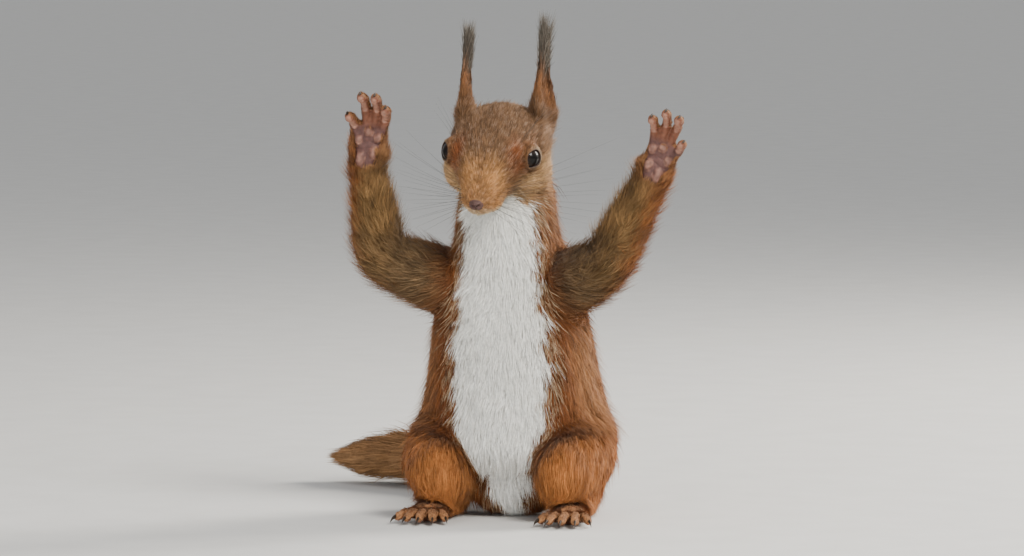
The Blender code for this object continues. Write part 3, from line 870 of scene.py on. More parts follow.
def make_rods():
    """Each rod: part, start, end, thickness at the start and at the end, and the way that its fur lies."""
    rods = []

    def add(part, a, b, ra, rb, way=None):
        a, b = Vector(a), Vector(b)
        rods.append((part, a, b, ra, rb, (way or (b - a)).normalized()))

    for low, high in zip(TRUNK[:7], TRUNK[1:7]):
        add("trunk", (0, high[1], high[0]), (0, low[1], low[0]), high[2], low[2], Vector((0, 0.12, -1)))
    for low, high in zip(TRUNK[6:], TRUNK[7:]):
        add("neck", (0, high[1], high[0]), (0, low[1], low[0]), high[2], low[2], Vector((0, 0.1, -1)))
    back = TO_BODY.to_3x3() @ Vector((0, -1, -0.1))
    for rear, fore in zip(HEAD[1:], HEAD[2:]):
        start, end = (TO_BODY @ Vector((0, *row[:2])) for row in (fore, rear))
        add("head", start, end, fore[2], rear[2], back)
    for side, sign in SIDES.items():
        joints = ARMS[side]
        shoulder, elbow, wrist = (Vector(joints[name]) for name in ("shoulder", "elbow", "wrist"))
        middle = between(shoulder, elbow, 0.55)
        up = (wrist - elbow).normalized()
        turned = (elbow - middle).normalized() + up
        add("arm", shoulder, middle, 12, 9)
        add("arm", middle, elbow, 9, 7.2, turned + up)
        add("forearm", elbow - up * 3, wrist, 7.9, 4.4)
        add("hand", wrist, joints["reach"], 4.6, 5.6)
        for a, b in zip(HAUNCH, HAUNCH[1:]):
            way = Vector((0.1 * sign, -0.55, -0.8))
            add("haunch", (a[0] * sign, *a[1:3]), (b[0] * sign, *b[1:3]), a[3], b[3], way)
        for a, b in zip(SHANK, SHANK[1:]):
            add("shank", (a[0] * sign, *a[1:3]), (b[0] * sign, *b[1:3]), a[3], b[3], Vector((0, 0.5, -0.9)))
        add("foot", (FOOT[0][0] * sign, *FOOT[0][1:3]), (FOOT[-1][0] * sign, FOOT[-1][1] - 14, 3), 4.2, 6.5)
        place = ear_frame(side)
        add("ear", place @ Vector((0, 0, 6)), place @ Vector((0, 0, EAR_HEIGHT - 3)), 5.0, 2.0)
    for a, b in zip(tail_rows[4::4], tail_rows[8::4]):
        add("tail", a[:3], b[:3], 6.5, 5.0)
    return rods


rods = make_rods()
print("rods:", len(rods))

# %% [markdown]
# The shares fall off over a couple of millimetres past the nearest rod, which is about as far as fur of
# two kinds mixes on an animal.


# %% Shares of the parts
def shares_of(points, reach=2.2):
    """How far each point belongs to each part, and the way its fur lies."""
    gaps, ways = [], []
    for part, a, b, ra, rb, way in rods:
        a, b = np.array(a), np.array(b)
        along = np.clip(((points - a) @ (b - a)) / ((b - a) @ (b - a)), 0, 1)
        gap = np.linalg.norm(points - a - along[:, None] * (b - a), axis=1) - (ra + (rb - ra) * along)
        gaps.append(gap)
        ways.append(np.array(way))
    gaps = np.array(gaps)
    weights = np.exp(-(gaps - gaps.min(axis=0)) / reach)
    weights /= weights.sum(axis=0)
    lie = weights.T @ np.array(ways)
    shares = {part: np.zeros(len(points)) for part in PARTS}
    for (part, *_), weight in zip(rods, weights):
        shares[part] += weight
    return shares, lie


shares, lie = shares_of(hide_points)
print({part: round(float(share.mean()), 3) for part, share in shares.items()})

# %% [markdown]
# ## The lie, depth and length of the fur
# On the face the fur runs back from the nose. On the body it runs down and back, along the limbs it runs
# to the hands and feet, and on the ears it runs up to the tufts. A few passes of averaging along the
# edges of the hide take out any sudden turn, as combing does.

# %% Measures of the coat
COAT = {  # depth over the skin, length of a tuft, width of a tuft, in mm
    "trunk": (5.0, 10.0, 0.34),
    "neck": (4.6, 9.5, 0.38),
    "head": (2.5, 5.2, 0.24),
    "ear": (1.35, 4.6, 0.22),
    "arm": (5.0, 10.5, 0.34),
    "forearm": (4.5, 9.0, 0.3),
    "hand": (1.0, 2.8, 0.2),
    "haunch": (4.4, 10.0, 0.33),
    "shank": (3.4, 7.5, 0.34),
    "foot": (1.1, 3.4, 0.24),
    "tail": (8.0, 24.0, 0.4),
}


def blend_of(shares, column):
    """One of the coat's measures, blended by each point's shares."""
    return sum(share * COAT[part][column] for part, share in shares.items())


def unit(vectors):
    """The vectors, each made one unit long."""
    return vectors / np.maximum(np.linalg.norm(vectors, axis=1, keepdims=True), 1e-9)


def flat_on(vectors, normals):
    """The vectors laid flat on the surface with those normals, one unit long."""
    return unit(vectors - normals * (vectors * normals).sum(axis=1, keepdims=True))


pairs = np.concatenate([corners[:, [0, 1]], corners[:, [1, 2]], corners[:, [2, 0]]])
pairs = np.unique(np.sort(pairs, axis=1), axis=0)


def averaged(values, passes):
    """The values after each point has taken its neighbours' mean a few times."""
    counts = np.bincount(pairs.ravel(), minlength=len(values)).astype(float)
    for _ in range(passes):
        total = np.stack(
            [
                np.bincount(pairs[:, 0], values[pairs[:, 1], i], len(values))
                + np.bincount(pairs[:, 1], values[pairs[:, 0], i], len(values))
                for i in range(values.shape[1])
            ],
            axis=1,
        )
        values = values * 0.4 + total / np.maximum(counts, 1)[:, None] * 0.6
    return values


print("edges of the hide:", len(pairs))

# %% [markdown]
# The hair on the face starts from a point before the nose, and it parts round each eye. Under the arms
# and at the elbows two lies meet at a sharp turn, so they are averaged many times more than the rest.

# %% The lie of the coat
NOSE_START = (0, 46, -7)  # in the head's frame
in_head = in_frame(hide_points, TO_BODY)
turn = np.array(TO_BODY.to_3x3())
from_nose = (in_head - np.array(NOSE_START)) @ turn.T
face = (shares["head"] * step_up(in_head[:, 1], -8, 6))[:, None]
lie = unit(lie) * (1 - face) + unit(from_nose) * face
for side in SIDES:
    local = in_frame(hide_points, eye_frame(side))
    out = local.copy()
    out[:, 2] = 0
    around = unit(out) @ np.array(eye_frame(side).to_3x3()).T
    near_eye = ((1 - step_up(lid_share(local), 1.1, 2.0)) * within(local, 12, -3))[:, None]
    lie = lie * (1 - 0.6 * near_eye) + around * 0.6 * near_eye
near_body = 1 - step_up(np.abs(hide_points[:, 0]), 26, 38)
lie[:, 2] -= 0.5 * shares["arm"] * near_body * (1 - step_up(hide_normals[:, 2], -0.2, 0.5))
lie = flat_on(lie, hide_normals)
lie = flat_on(averaged(lie, 12), hide_normals)
meeting = shares["trunk"] + shares["neck"] + shares["forearm"]
bends = np.clip(6 * shares["arm"] * meeting, 0, 1)[:, None]
lie = flat_on(lie * (1 - bends) + averaged(lie, 60) * bends, hide_normals)
print("share of the hide where two lies meet:", round(float((bends > 0.5).mean()), 3))

# %% [markdown]
# Each part's own measures are changed here and there, as they are on the animal. The fur is short round
# the eyes and on the snout, deep at the back of the neck and round the ears' roots, long where the
# flank hangs over the thigh, and thin on the fingers and toes.

# %% The depth and length of the coat
depth = blend_of(shares, 0)
length = blend_of(shares, 1)
width = blend_of(shares, 2)
for side in SIDES:
    local = in_frame(hide_points, eye_frame(side))
    rho = np.where(within(local, FACE_REACH, -4), lid_share(local), 9)
    short = 1 - 0.62 * (1 - step_up(rho, 1.3, 2.7))
    depth *= short
    length *= short
    width *= 0.5 + 0.5 * short


def change(where, depth_by, length_by):
    """Changes the coat's depth and length by those shares of themselves."""
    depth[:] *= 1 + depth_by * where
    length[:] *= 1 + length_by * where


snout = step_up(in_head[:, 1], 14, 36) * shares["head"]
change(snout, -0.62, -0.62)
width *= 1 - 0.3 * snout
nape = step_up(-in_head[:, 1], -2, 12) * shares["head"]
change(nape, 0.1, 0.4)
scruff = shares["neck"] * step_up(hide_points[:, 2], 122, 142) * step_up(hide_normals[:, 1], -0.2, 0.5)
change(scruff, 0.5, 0.35)
overhang = shares["trunk"] * step_up(hide_points[:, 2], 34, 44) * (1 - step_up(hide_points[:, 2], 52, 66))
overhang *= step_up(np.abs(hide_points[:, 0]), 16, 24)
change(overhang, 0.35, 0.3)
for side in SIDES:
    ear_root = np.array(ear_frame(side) @ Vector((0, 0, 1)))
    to_root = np.linalg.norm(hide_points - ear_root, axis=1)
    fluff = (1 - step_up(to_root, 6, 12)) * (shares["head"] + shares["ear"])
    change(fluff, 0.5, 0.6)
for side in SIDES:
    local = in_frame(hide_points, hand_frame(side))
    finger = step_up(local[:, 2], PALM_LENGTH - 4, PALM_LENGTH + 2) * shares["hand"]
    palm_side = (1 - step_up(local[:, 2], 6, 13)) * shares["hand"]
    depth *= (1 - 0.4 * finger) * (1 + 0.35 * palm_side)
    length *= (1 - 0.3 * finger) * (1 + 0.4 * palm_side)
    width *= 1 - 0.3 * finger
    before_palm = step_up(local[:, 2], -14, -4) * within(local, 25)
    before_palm *= step_up(ways_in(hide_normals, hand_frame(side))[:, 1], 0.0, 0.5)
    change(before_palm, -0.25, -0.35)
toes = shares["foot"] * (1 - step_up(hide_points[:, 1], -28, -22))
change(toes, -0.45, -0.3)
under_arm = shares["arm"] * step_up(-hide_normals[:, 2], 0.1, 0.8)
change(under_arm, 0, 0.35)
print("mean depth of the coat:", round(float(depth.mean()), 2), "mm")

# %% [markdown]
# ## Where no fur grows
# The palms, the pads and the soles are bare, and so are the nose and the edges of the lids. The inside
# of the ear has only thin hair. This share of fur is 0 on bare skin and 1 under a full coat.


# %% Bare skin
# up the hand from the wrist, half width of the bare palm there
PALM_OUTLINE = ((-4, 0, 4, 9, 13, 17), (2.6, 3.9, 4.6, 5.3, 6.2, 12.0))


def ripple(points, size, seed):
    """A smooth wandering value between about -1 and 1, with bumps about that size across."""
    waves = np.random.default_rng(seed)
    total = np.zeros(len(points))
    for _ in range(6):
        way = waves.normal(size=3)
        way *= (2 * math.pi / size) * waves.uniform(0.6, 1.4) / np.linalg.norm(way)
        total += np.sin(points @ way + waves.uniform(0, 6.28))
    return total / 3


def fur_share(points, normals, shares):
    """The share of full fur at each point."""
    fur = np.ones(len(points))
    for side in SIDES:
        place = hand_frame(side)
        local = in_frame(points, place)
        facing = ways_in(normals, place)
        finger = step_up(local[:, 2], PALM_LENGTH - 2, PALM_LENGTH + 3)
        start = step_up(local[:, 2] + 0.9 * ripple(points, 3.5, 41), -3.8, -1.6)
        here = within(local, HAND_REACH, -7)
        inner = facing[:, 1] * 0.8 - facing[:, 2] * 0.6 * finger + 0.1 * ripple(points, 2.5, 42)
        tip = step_up(local[:, 1], 5.5, 7.5) * finger * (1 - step_up(facing[:, 2], -0.1, 0.35))
        half = np.interp(local[:, 2], *PALM_OUTLINE)
        across = step_up(half - np.abs(local[:, 0]) + 0.5 * ripple(points, 3.0, 43), -0.5, 0.6)
        bare_palm = np.maximum(step_up(inner, 0.05, 0.4) * across, tip) * start
        fur[here] = np.minimum(fur[here], 1 - bare_palm[here])
    sole = (1 - step_up(points[:, 2], 1.2, 2.6)) * shares["foot"]
    fur *= 1 - sole
    in_head = in_frame(points, TO_BODY)
    nose = np.linalg.norm((in_head - np.array(NOSE[0])) / (np.array(NOSE[1]) * 1.12), axis=1)
    fur *= step_up(nose, 1.0, 1.25)
    for side in SIDES:
        local = in_frame(points, eye_frame(side))
        fur *= 1 - (1 - step_up(lid_share(local), 1.06, 1.2)) * (local[:, 2] > -2)
        local = in_frame(points, ear_frame(side))
        facing = ways_in(normals, ear_frame(side))
        inner = step_up(facing[:, 1], 0.0, 0.6) * (local[:, 2] < EAR_HEIGHT - 5)
        fur *= 1 - 0.75 * shares["ear"] * inner
    return np.clip(fur, 0, 1)


fur = fur_share(hide_points, hide_normals, shares)
print("bare share of the hide:", round(float(1 - fur.mean()), 3))

# %% [markdown]
# ## The markings
# A red squirrel is rust red above and white below, with a sharp line along the flank. The head is a
# grizzled brown with an orange muzzle and orange cheeks, the ear tufts are dark, the arms turn olive on
# their inner side, and the tail is a darker red brown. On top of these come a painted highlight on each
# side of the snout and a painted rim light where the flank faces out.

# %% Colours of the coat
BACK = np.array((0.25, 0.095, 0.034))
FLANK = np.array((0.138, 0.040, 0.009))
# painted rim light: the flank's red made paler, for where it faces out
FLANK_RIM_LIGHT = np.array((0.335, 0.15, 0.056))
THIGH = np.array((0.37, 0.135, 0.036))
ARM_OUT = np.array((0.25, 0.088, 0.022))
ARM_IN = np.array((0.205, 0.115, 0.044))
ARM_PIT = np.array((0.125, 0.080, 0.042))
CROWN = np.array((0.158, 0.084, 0.041))
EYE_SURROUND = np.array((0.17, 0.066, 0.022))
MUZZLE = np.array((0.40, 0.19, 0.072))
# painted highlight on each side of the snout, before the eyes
SNOUT_HIGHLIGHT = np.array((0.60, 0.29, 0.10))
CHEEK = np.array((0.52, 0.32, 0.15))
RUSSET = np.array((0.235, 0.068, 0.021))
EAR_BACK = np.array((0.19, 0.078, 0.028))
TUFT = np.array((0.100, 0.085, 0.068))
WHITE = np.array((0.83, 0.82, 0.77))
CREAM = np.array((0.62, 0.48, 0.30))
TAIL_TOP = np.array((0.225, 0.112, 0.046))
TAIL_SIDE = np.array((0.30, 0.158, 0.068))
PAW = np.array((0.36, 0.165, 0.07))
print("white against the flank:", round(float(WHITE.mean() / FLANK.mean()), 1), "to 1")

# %% [markdown]
# The white runs from the chin down the throat and belly to the inside of the thighs. Its edge is found
# from each part's own measures and kept as a distance, so that the hairs can mix a little across it.

# %% Where the white begins
WHITE_FRONT = (  # height, half width of the white there
    (5, 12, 26, 40, 60, 72, 86, 100, 112, 124, 135),
    (3, 5, 9.5, 15, 17.5, 17, 15.5, 13, 12, 11, 10),
)
WHITE_CHIN = ((-4, 10, 22, 34, 40), (12, 9.5, 6.5, 5, 3.0))  # forward in the head, half width
SHOULDER_OUT = 22  # how far out the upper arm leaves the body


def white_share(points, normals, shares):
    """Below 0 on the red side of the line, above 0 on the white side, in about millimetres."""
    x, y, z = points.T
    front = np.interp(z, *WHITE_FRONT)
    setback = np.interp(z, [row[0] for row in TRUNK], [row[1] for row in TRUNK])
    trunk = front - np.abs(x) - 40 * step_up(y - setback, -8, 8)
    in_head = in_frame(points, TO_BODY)
    chin = np.interp(in_head[:, 1], *WHITE_CHIN) - np.abs(in_head[:, 0])
    chin = np.minimum(chin, (-9.5 - 0.03 * in_head[:, 1] - in_head[:, 2]) * 1.5)
    chin = np.minimum(chin, in_head[:, 1] * 1.5 - 1)
    mix = step_up(shares["head"], 0.3, 0.7)
    found = trunk * (1 - mix) + chin * mix
    legs = shares["haunch"] + shares["shank"] + shares["foot"] + shares["tail"]
    inner_leg = -np.abs(normals[:, 0] * np.sign(x) + 1) * 14 + 7
    found = np.where(legs > 0.5, np.minimum(found, inner_leg), found)
    limbs = shares["forearm"] + shares["hand"]
    found = np.where(limbs > 0.5, -20, found)
    arm_in = (-(normals[:, 2] * 0.2 + normals[:, 0] * np.sign(x) * 0.8 - normals[:, 1] * 0.4)) * 5 - 3
    beyond = np.abs(x) - SHOULDER_OUT
    arm_in = np.minimum(found, arm_in - beyond * 0.6)
    return np.where((shares["arm"] > 0.5) & (beyond > 0), arm_in, found)


white = white_share(hide_points, hide_normals, shares)
print("white share of the coat:", round(float((white > 0).mean()), 3))

# %% [markdown]
# The rest is laid on part by part, each as a base with its own markings over it. On the head those are
# the orange muzzle and cheeks, the russet patch before the eye, pale lips and a pale eye ring, with a
# painted highlight on each side of the snout.


# %% Colours of the head
def paint(base, colour, amount):
    """Moves the base towards the colour by that share."""
    base += (colour - base) * amount[:, None]


def red_head(points):
    """The colour of the head's fur."""
    in_head = in_frame(points, TO_BODY)
    across, forward, up = in_head.T
    head = np.broadcast_to(CROWN, points.shape).copy()
    muzzle = step_up(forward + 1.5 * ripple(points, 6.0, 61), 23.5, 38.5)
    paint(head, MUZZLE, 0.9 * muzzle)
    # painted highlight: a brighter orange on each side of the snout, where light catches it
    snout_highlight = np.exp(-(((forward - 30.5) / 4.5) ** 2) - ((np.abs(across) - 4.5) / 4.0) ** 2)
    paint(head, SNOUT_HIGHLIGHT, 0.75 * snout_highlight)
    russet = np.exp(-(((forward - 20.5) / 4.2) ** 2) - ((np.abs(across) - 10.3) / 2.4) ** 2)
    russet *= step_up(up, -6, 2)
    paint(head, RUSSET, 0.9 * russet)
    cheek = step_up(-up, -1.5, 5) * step_up(-forward, -26, -17) * step_up(forward, -1, 9)
    paint(head, CHEEK, 0.85 * cheek)
    to_mouth = np.minimum(*(distance_to_path(in_head, path) for path in mouth))
    lips = 1 - step_up(to_mouth + ripple(points, 4.0, 62), 1.6, 4.4)
    paint(head, CREAM * 1.2, 0.8 * lips)
    for side in SIDES:
        local = in_frame(points, eye_frame(side))
        rho = lid_share(local)
        close = within(local, FACE_REACH, -4)
        above = step_up(local[:, 1], -4, 2)
        patch = 0.75 * close * (1 - step_up(rho, 1.5, 2.5)) * (0.3 + 0.7 * above)
        paint(head, EYE_SURROUND, patch)
        ring = close * step_up(rho, 1.08, 1.16) * (1 - step_up(rho, 1.22, 1.42))
        low_front = 0.6 - 0.4 * local[:, 1] / LID_HALF[1] - 0.2 * local[:, 0] / LID_HALF[0]
        ring *= np.clip(low_front, 0.1, 1)
        paint(head, CREAM * 0.6, 0.7 * ring)
    return head


crown = red_head(hide_points)[shares["head"] > 0.5]
print("mean colour of the head:", [round(float(v), 3) for v in crown.mean(axis=0)])

# %% [markdown]
# On the body the flank is dark red where it faces forward, and a painted rim light makes it paler where it
# faces out. The back is a plain brown. The fold between the flank and the thigh is shaded, since little
# light gets into it.


# %% The coloured coat
def red_colour(points, normals, shares):
    """The colour of the coat where it isn't white."""
    x, y, z = points.T
    upper = step_up(y, -6, 26)[:, None]
    colour = np.zeros((len(points), 3))
    # painted rim light: the flank turns paler where it faces out to the side, less so higher up
    outside = step_up(np.abs(normals[:, 0]) - 0.3 * np.abs(normals[:, 1]), 0.35, 0.95)[:, None]
    outside = outside * (1 - 0.5 * step_up(z, 96, 124)[:, None])
    trunk = (FLANK * (1 - outside) + FLANK_RIM_LIGHT * outside) * (1 - upper) + BACK * upper
    colour += (shares["trunk"] + shares["neck"])[:, None] * trunk
    colour += shares["head"][:, None] * red_head(points)
    ear = np.broadcast_to(EAR_BACK, colour.shape).copy()
    paint(ear, TUFT, step_up(z, 179, 190))
    colour += shares["ear"][:, None] * ear
    outer = step_up(normals[:, 0] * np.sign(x) * 0.9 + normals[:, 1] * 0.5, -0.35, 0.6)[:, None]
    pit = (step_up(-normals[:, 1] - 0.5 * normals[:, 0] * np.sign(x), 0.1, 0.8) * 0.8)[:, None]
    upper_arm = ARM_OUT * outer + (ARM_IN * (1 - pit) + ARM_PIT * pit) * (1 - outer)
    colour += shares["arm"][:, None] * upper_arm
    colour += shares["forearm"][:, None] * (ARM_IN * (1 - outer) + ARM_OUT * outer)
    colour += (shares["hand"] + shares["foot"])[:, None] * PAW
    colour += (shares["haunch"] + shares["shank"])[:, None] * THIGH
    level = np.abs(normals[:, 2])[:, None]
    colour += shares["tail"][:, None] * (TAIL_SIDE * (1 - level) + TAIL_TOP * level)
    crease = 4 * shares["trunk"] * (shares["haunch"] + shares["shank"])
    crease = crease * step_up(z, 20, 34) * (1 - step_up(y, -12, 14))
    return colour * (1 - 0.45 * crease)[:, None]


red = red_colour(hide_points, hide_normals, shares)
length *= 1 - 0.3 * step_up(white, -1, 4) * (shares["trunk"] + shares["neck"])
print("mean of the coloured coat:", [round(float(v), 3) for v in red.mean(axis=0)])

# %% [markdown]
# ## A distance field to comb with
# A tuft must rise to the depth of the coat and then lie along the body, over folds and round limbs. A
# coarse grid that knows the height above the skin and the way out from it lets every tuft find its
# level without any search of its own.

# %% The height above the skin
CELL = 2.0
REACH = 16.0
grid_low = hide_points.min(axis=0) - 18
grid_shape = np.ceil((hide_points.max(axis=0) + 18 - grid_low) / CELL).astype(int) + 1
seeds = np.unique(np.round((hide_points - grid_low) / CELL).astype(int), axis=0)
wanted = np.zeros(grid_shape, bool)
wanted[tuple(seeds.T)] = True
for _ in range(math.ceil(REACH / CELL)):
    grown = wanted.copy()
    for axis in range(3):
        grown |= np.roll(wanted, 1, axis) | np.roll(wanted, -1, axis)
    wanted = grown
heights = np.full(grid_shape, REACH, np.float32)
for cell in np.argwhere(wanted):
    spot = Vector(grid_low + cell * CELL)
    place, normal, _, distance = tree.find_nearest(spot)
    heights[tuple(cell)] = math.copysign(distance, (spot - place).dot(normal))
slopes = np.stack(np.gradient(heights, CELL), axis=-1)
field = np.concatenate([heights[..., None], slopes], axis=-1).astype(np.float32)
print("grid:", tuple(grid_shape), "cells measured:", int(wanted.sum()))


def look_up(points):
    """The height above the skin and the way out from it, at each point."""
    at = (points - grid_low) / CELL
    base = np.clip(np.floor(at).astype(int), 0, grid_shape - 2)
    part = np.clip(at - base, 0, 1)
    total = np.zeros((len(points), 4))
    for corner in range(8):
        bits = np.array([corner >> 2 & 1, corner >> 1 & 1, corner & 1])
        weight = np.prod(np.where(bits, part, 1 - part), axis=1)
        total += field[tuple((base + bits).T)] * weight[:, None]
    return total[:, 0], unit(total[:, 1:])


# %% [markdown]
# ## Roots
# Tufts are sown at random over the hide, as thickly as each part's tufts are fine. Each root keeps its
# place on the hide's triangle, so that lie, length and colour can be read off by blending corners.

# %% Sowing the roots
SOWN = {  # tufts to a square mm
    "trunk": 8.6,
    "neck": 8.6,
    "head": 11.8,
    "ear": 16.0,
    "arm": 9.0,
    "forearm": 10.0,
    "hand": 14.0,
    "haunch": 9.0,
    "shank": 8.5,
    "foot": 13.0,
    "tail": 0.0,
}
THINNING = 1
density = sum(share * SOWN[part] for part, share in shares.items()) * step_up(fur, 0.05, 0.6) / THINNING
density = density * (1 + 0.35 * snout)
sown = areas * density[corners].mean(axis=1)
total = int(sown.sum())
edges_of = np.cumsum(sown)
draws = (np.arange(total) + rng.random(total)) * (edges_of[-1] / total)
face_of = np.searchsorted(edges_of, draws).clip(0, len(sown) - 1)
u, v = rng.random((2, total))
flip = u + v > 1
u[flip], v[flip] = 1 - u[flip], 1 - v[flip]
blend = np.stack([1 - u - v, u, v], axis=1)


def at_roots(values):
    """A value of the hide's points, read at each root."""
    picked = values[corners[face_of]]
    return (picked * (blend[..., None] if picked.ndim == 3 else blend)).sum(axis=1)


roots = at_roots(hide_points)
root_normals = unit(at_roots(hide_normals))
root_lie = flat_on(at_roots(lie), root_normals)
root_map = (corner_map[face_of] * blend[..., None]).sum(axis=1)
root_shares = {part: at_roots(share) for part, share in shares.items()}
root_depth, root_length, root_width = at_roots(depth), at_roots(length), at_roots(width)
root_fur, root_white, root_red = at_roots(fur), at_roots(white), at_roots(red)
print("roots sown:", total)

# %% [markdown]
# ## Combing
# Each tuft leaves the skin at a slant, bends over halfway and ends at the top of the coat. Hairs stand
# together in locks, so each tuft leans towards a neighbour chosen as the lock's leader. A few guard
# hairs stand a little proud, which gives the soft outline.


# %% Combing the tufts
LOCK = 14  # tufts to a lock, on the average


def leaders_of(points, every):
    """For each tuft, the number of the lock leader nearest to it."""
    count = max(1, len(points) // every)
    chosen = rng.choice(len(points), count, replace=False)
    finder = KDTree(count)
    for i, number in enumerate(chosen):
        finder.insert(points[number], int(number))
    finder.balance()
    return np.array([finder.find(point)[1] for point in points])


sway = np.stack([ripple(roots, 14, seed) for seed in (3, 4, 5)], axis=1)
fine_sway = np.stack([ripple(roots, 4.0, seed) for seed in (6, 7, 8)], axis=1)
jitter = rng.normal(size=(total, 3))
limb = root_shares["arm"] + root_shares["forearm"]
loose = (0.10 + 0.12 * limb)[:, None]
wavy = (1 - root_shares["head"] - root_shares["hand"] - root_shares["foot"])[:, None]
way = root_lie + (0.10 + 0.08 * wavy) * sway + (0.12 + 0.16 * wavy) * fine_sway + loose * jitter
way = flat_on(way, root_normals)
proud = rng.random(total) < 0.12 + 0.12 * limb
size = rng.uniform(0.78, 1.16, total)
rise = rng.uniform(0.55, 1.02, total)
rise = rise * np.where(proud, rng.uniform(1.1, 1.9, total) + 0.3 * limb, 1.0)
lengths = root_length * size * np.where(proud, 1.15, 1.0) * (0.5 + 0.5 * root_fur)
tops = root_depth * rise * (0.5 + 0.5 * root_fur)


def settled(points, height, strength=0.9):
    """The points moved to that height above the skin."""
    found, out = look_up(points)
    return points + out * ((height - found) * strength)[:, None], out


starts = roots - root_normals * 0.3
middles = roots + way * (lengths * 0.5)[:, None] + root_normals * (tops * 0.66)[:, None]
middles, out_middle = settled(middles, tops * 0.68)
onward = flat_on(way, out_middle)
tips = middles + onward * (lengths * 0.5)[:, None]
tips, _ = settled(tips, tops)
leader = leaders_of(roots, LOCK)
pull = (0.5 * rng.uniform(0.5, 1.2, total) * (1 - 0.45 * root_shares["head"]))[:, None]
to_tip = tips[leader] + (roots - roots[leader]) * 0.3 - tips
to_middle = middles[leader] + (roots - roots[leader]) * 0.75 - middles
close = (np.linalg.norm(roots - roots[leader], axis=1) < 4)[:, None]
tips = tips + to_tip * pull * close
middles = middles + to_middle * pull * 0.5 * close
tips, _ = settled(tips, tops, 0.7)
for points in (starts, middles, tips):
    points[:, 2] = np.maximum(points[:, 2], 0.3)
print("combed", total, "tufts, mean length", round(float(lengths.mean()), 2), "mm")

# %% [markdown]
# ## Colour along a tuft
# A squirrel's hair is slate at its root, red along its length and often tipped with another shade. Its dark
# root is partly that slate underfur and partly painted shade deep in the coat. On the flank the tufts beside
# the white belly are tipped with cream, and those of the crown with buff.


# %% Colours of the tufts
BUFF = np.array((0.50, 0.34, 0.24))
EDGE_WANDER = (9, 21)  # size and seed of the ripple in the edge of the white


def tuft_colours():
    """Colours at the root, the middle and the tip of every tuft."""
    chance = rng.random(total)
    lock_chance = rng.random(total)[leader]
    lock_shade = 1 + (rng.uniform(-0.22, 0.22, total)[leader] * (1 + 0.5 * limb))
    mottle = 1 + (0.12 + 0.22 * limb) * ripple(roots, 5.0, 51) + 0.10 * ripple(roots, 9.0, 52)
    shade = (rng.uniform(0.82, 1.18, total) * lock_shade * mottle)[:, None]
    warmth = rng.normal(0, 0.05, total)[:, None] * np.array((0.4, -0.3, -0.8))
    edge = root_white + 1.2 * ripple(roots, *EDGE_WANDER) + rng.normal(0, 0.7, total)
    is_white = edge > 0
    red_here = root_red * shade * (1 + warmth)
    white_here = WHITE * (0.94 + 0.06 * shade) * (1 + warmth * 0.2)
    base = np.where(is_white[:, None], white_here, red_here)
    # darker roots: slate underfur, and partly painted shade deep in the coat
    start = np.where(is_white[:, None], white_here * 0.96, red_here * 0.36)
    tip = np.where(is_white[:, None], white_here * 1.03, red_here * 1.25)
    border = (np.abs(root_white) < 4.0) & ~is_white & (chance < 0.36)
    tip[border] = CREAM * shade[border]
    base[border] = (base[border] + CREAM * 0.5) * 0.6
    crown = root_shares["head"] > 0.5
    buff = crown & ~is_white & (lock_chance < 0.34) & (chance < 0.7)
    tip[buff] = tip[buff] * 0.5 + BUFF * 0.6
    dark = crown & ~is_white & (lock_chance > 0.62) & (chance > 0.3)
    tip[dark] *= 0.5
    base[dark] *= 0.72
    body_dark = ~crown & ~is_white & (chance > 0.82)
    tip[body_dark] *= 0.5
    return start, base, tip


start_colour, base_colour, tip_colour = tuft_colours()
print("mean colour at the tips:", [round(float(v), 3) for v in tip_colour.mean(axis=0)])

# %% [markdown]
# ## Blades
# Each tuft is one narrow blade with its flat side out: two edges at the root, two at the bend and a
# point. All blades of a region are one mesh, filled from arrays, since that is quick for many small
# shapes. Their map places sit at their roots' places on the hide's unwrap.


# %% Meshes from arrays
PATCH = 0.003  # how much of the map a tuft takes up


def set_shade(mesh, colours):
    """Writes one colour to each point of the mesh, for its material to read."""
    attribute = mesh.color_attributes.new("shade", "FLOAT_COLOR", "POINT")
    rgba = np.ones((len(colours), 4), np.float32)
    rgba[:, :3] = np.clip(colours, 0, 1)
    attribute.data.foreach_set("color", rgba.ravel())


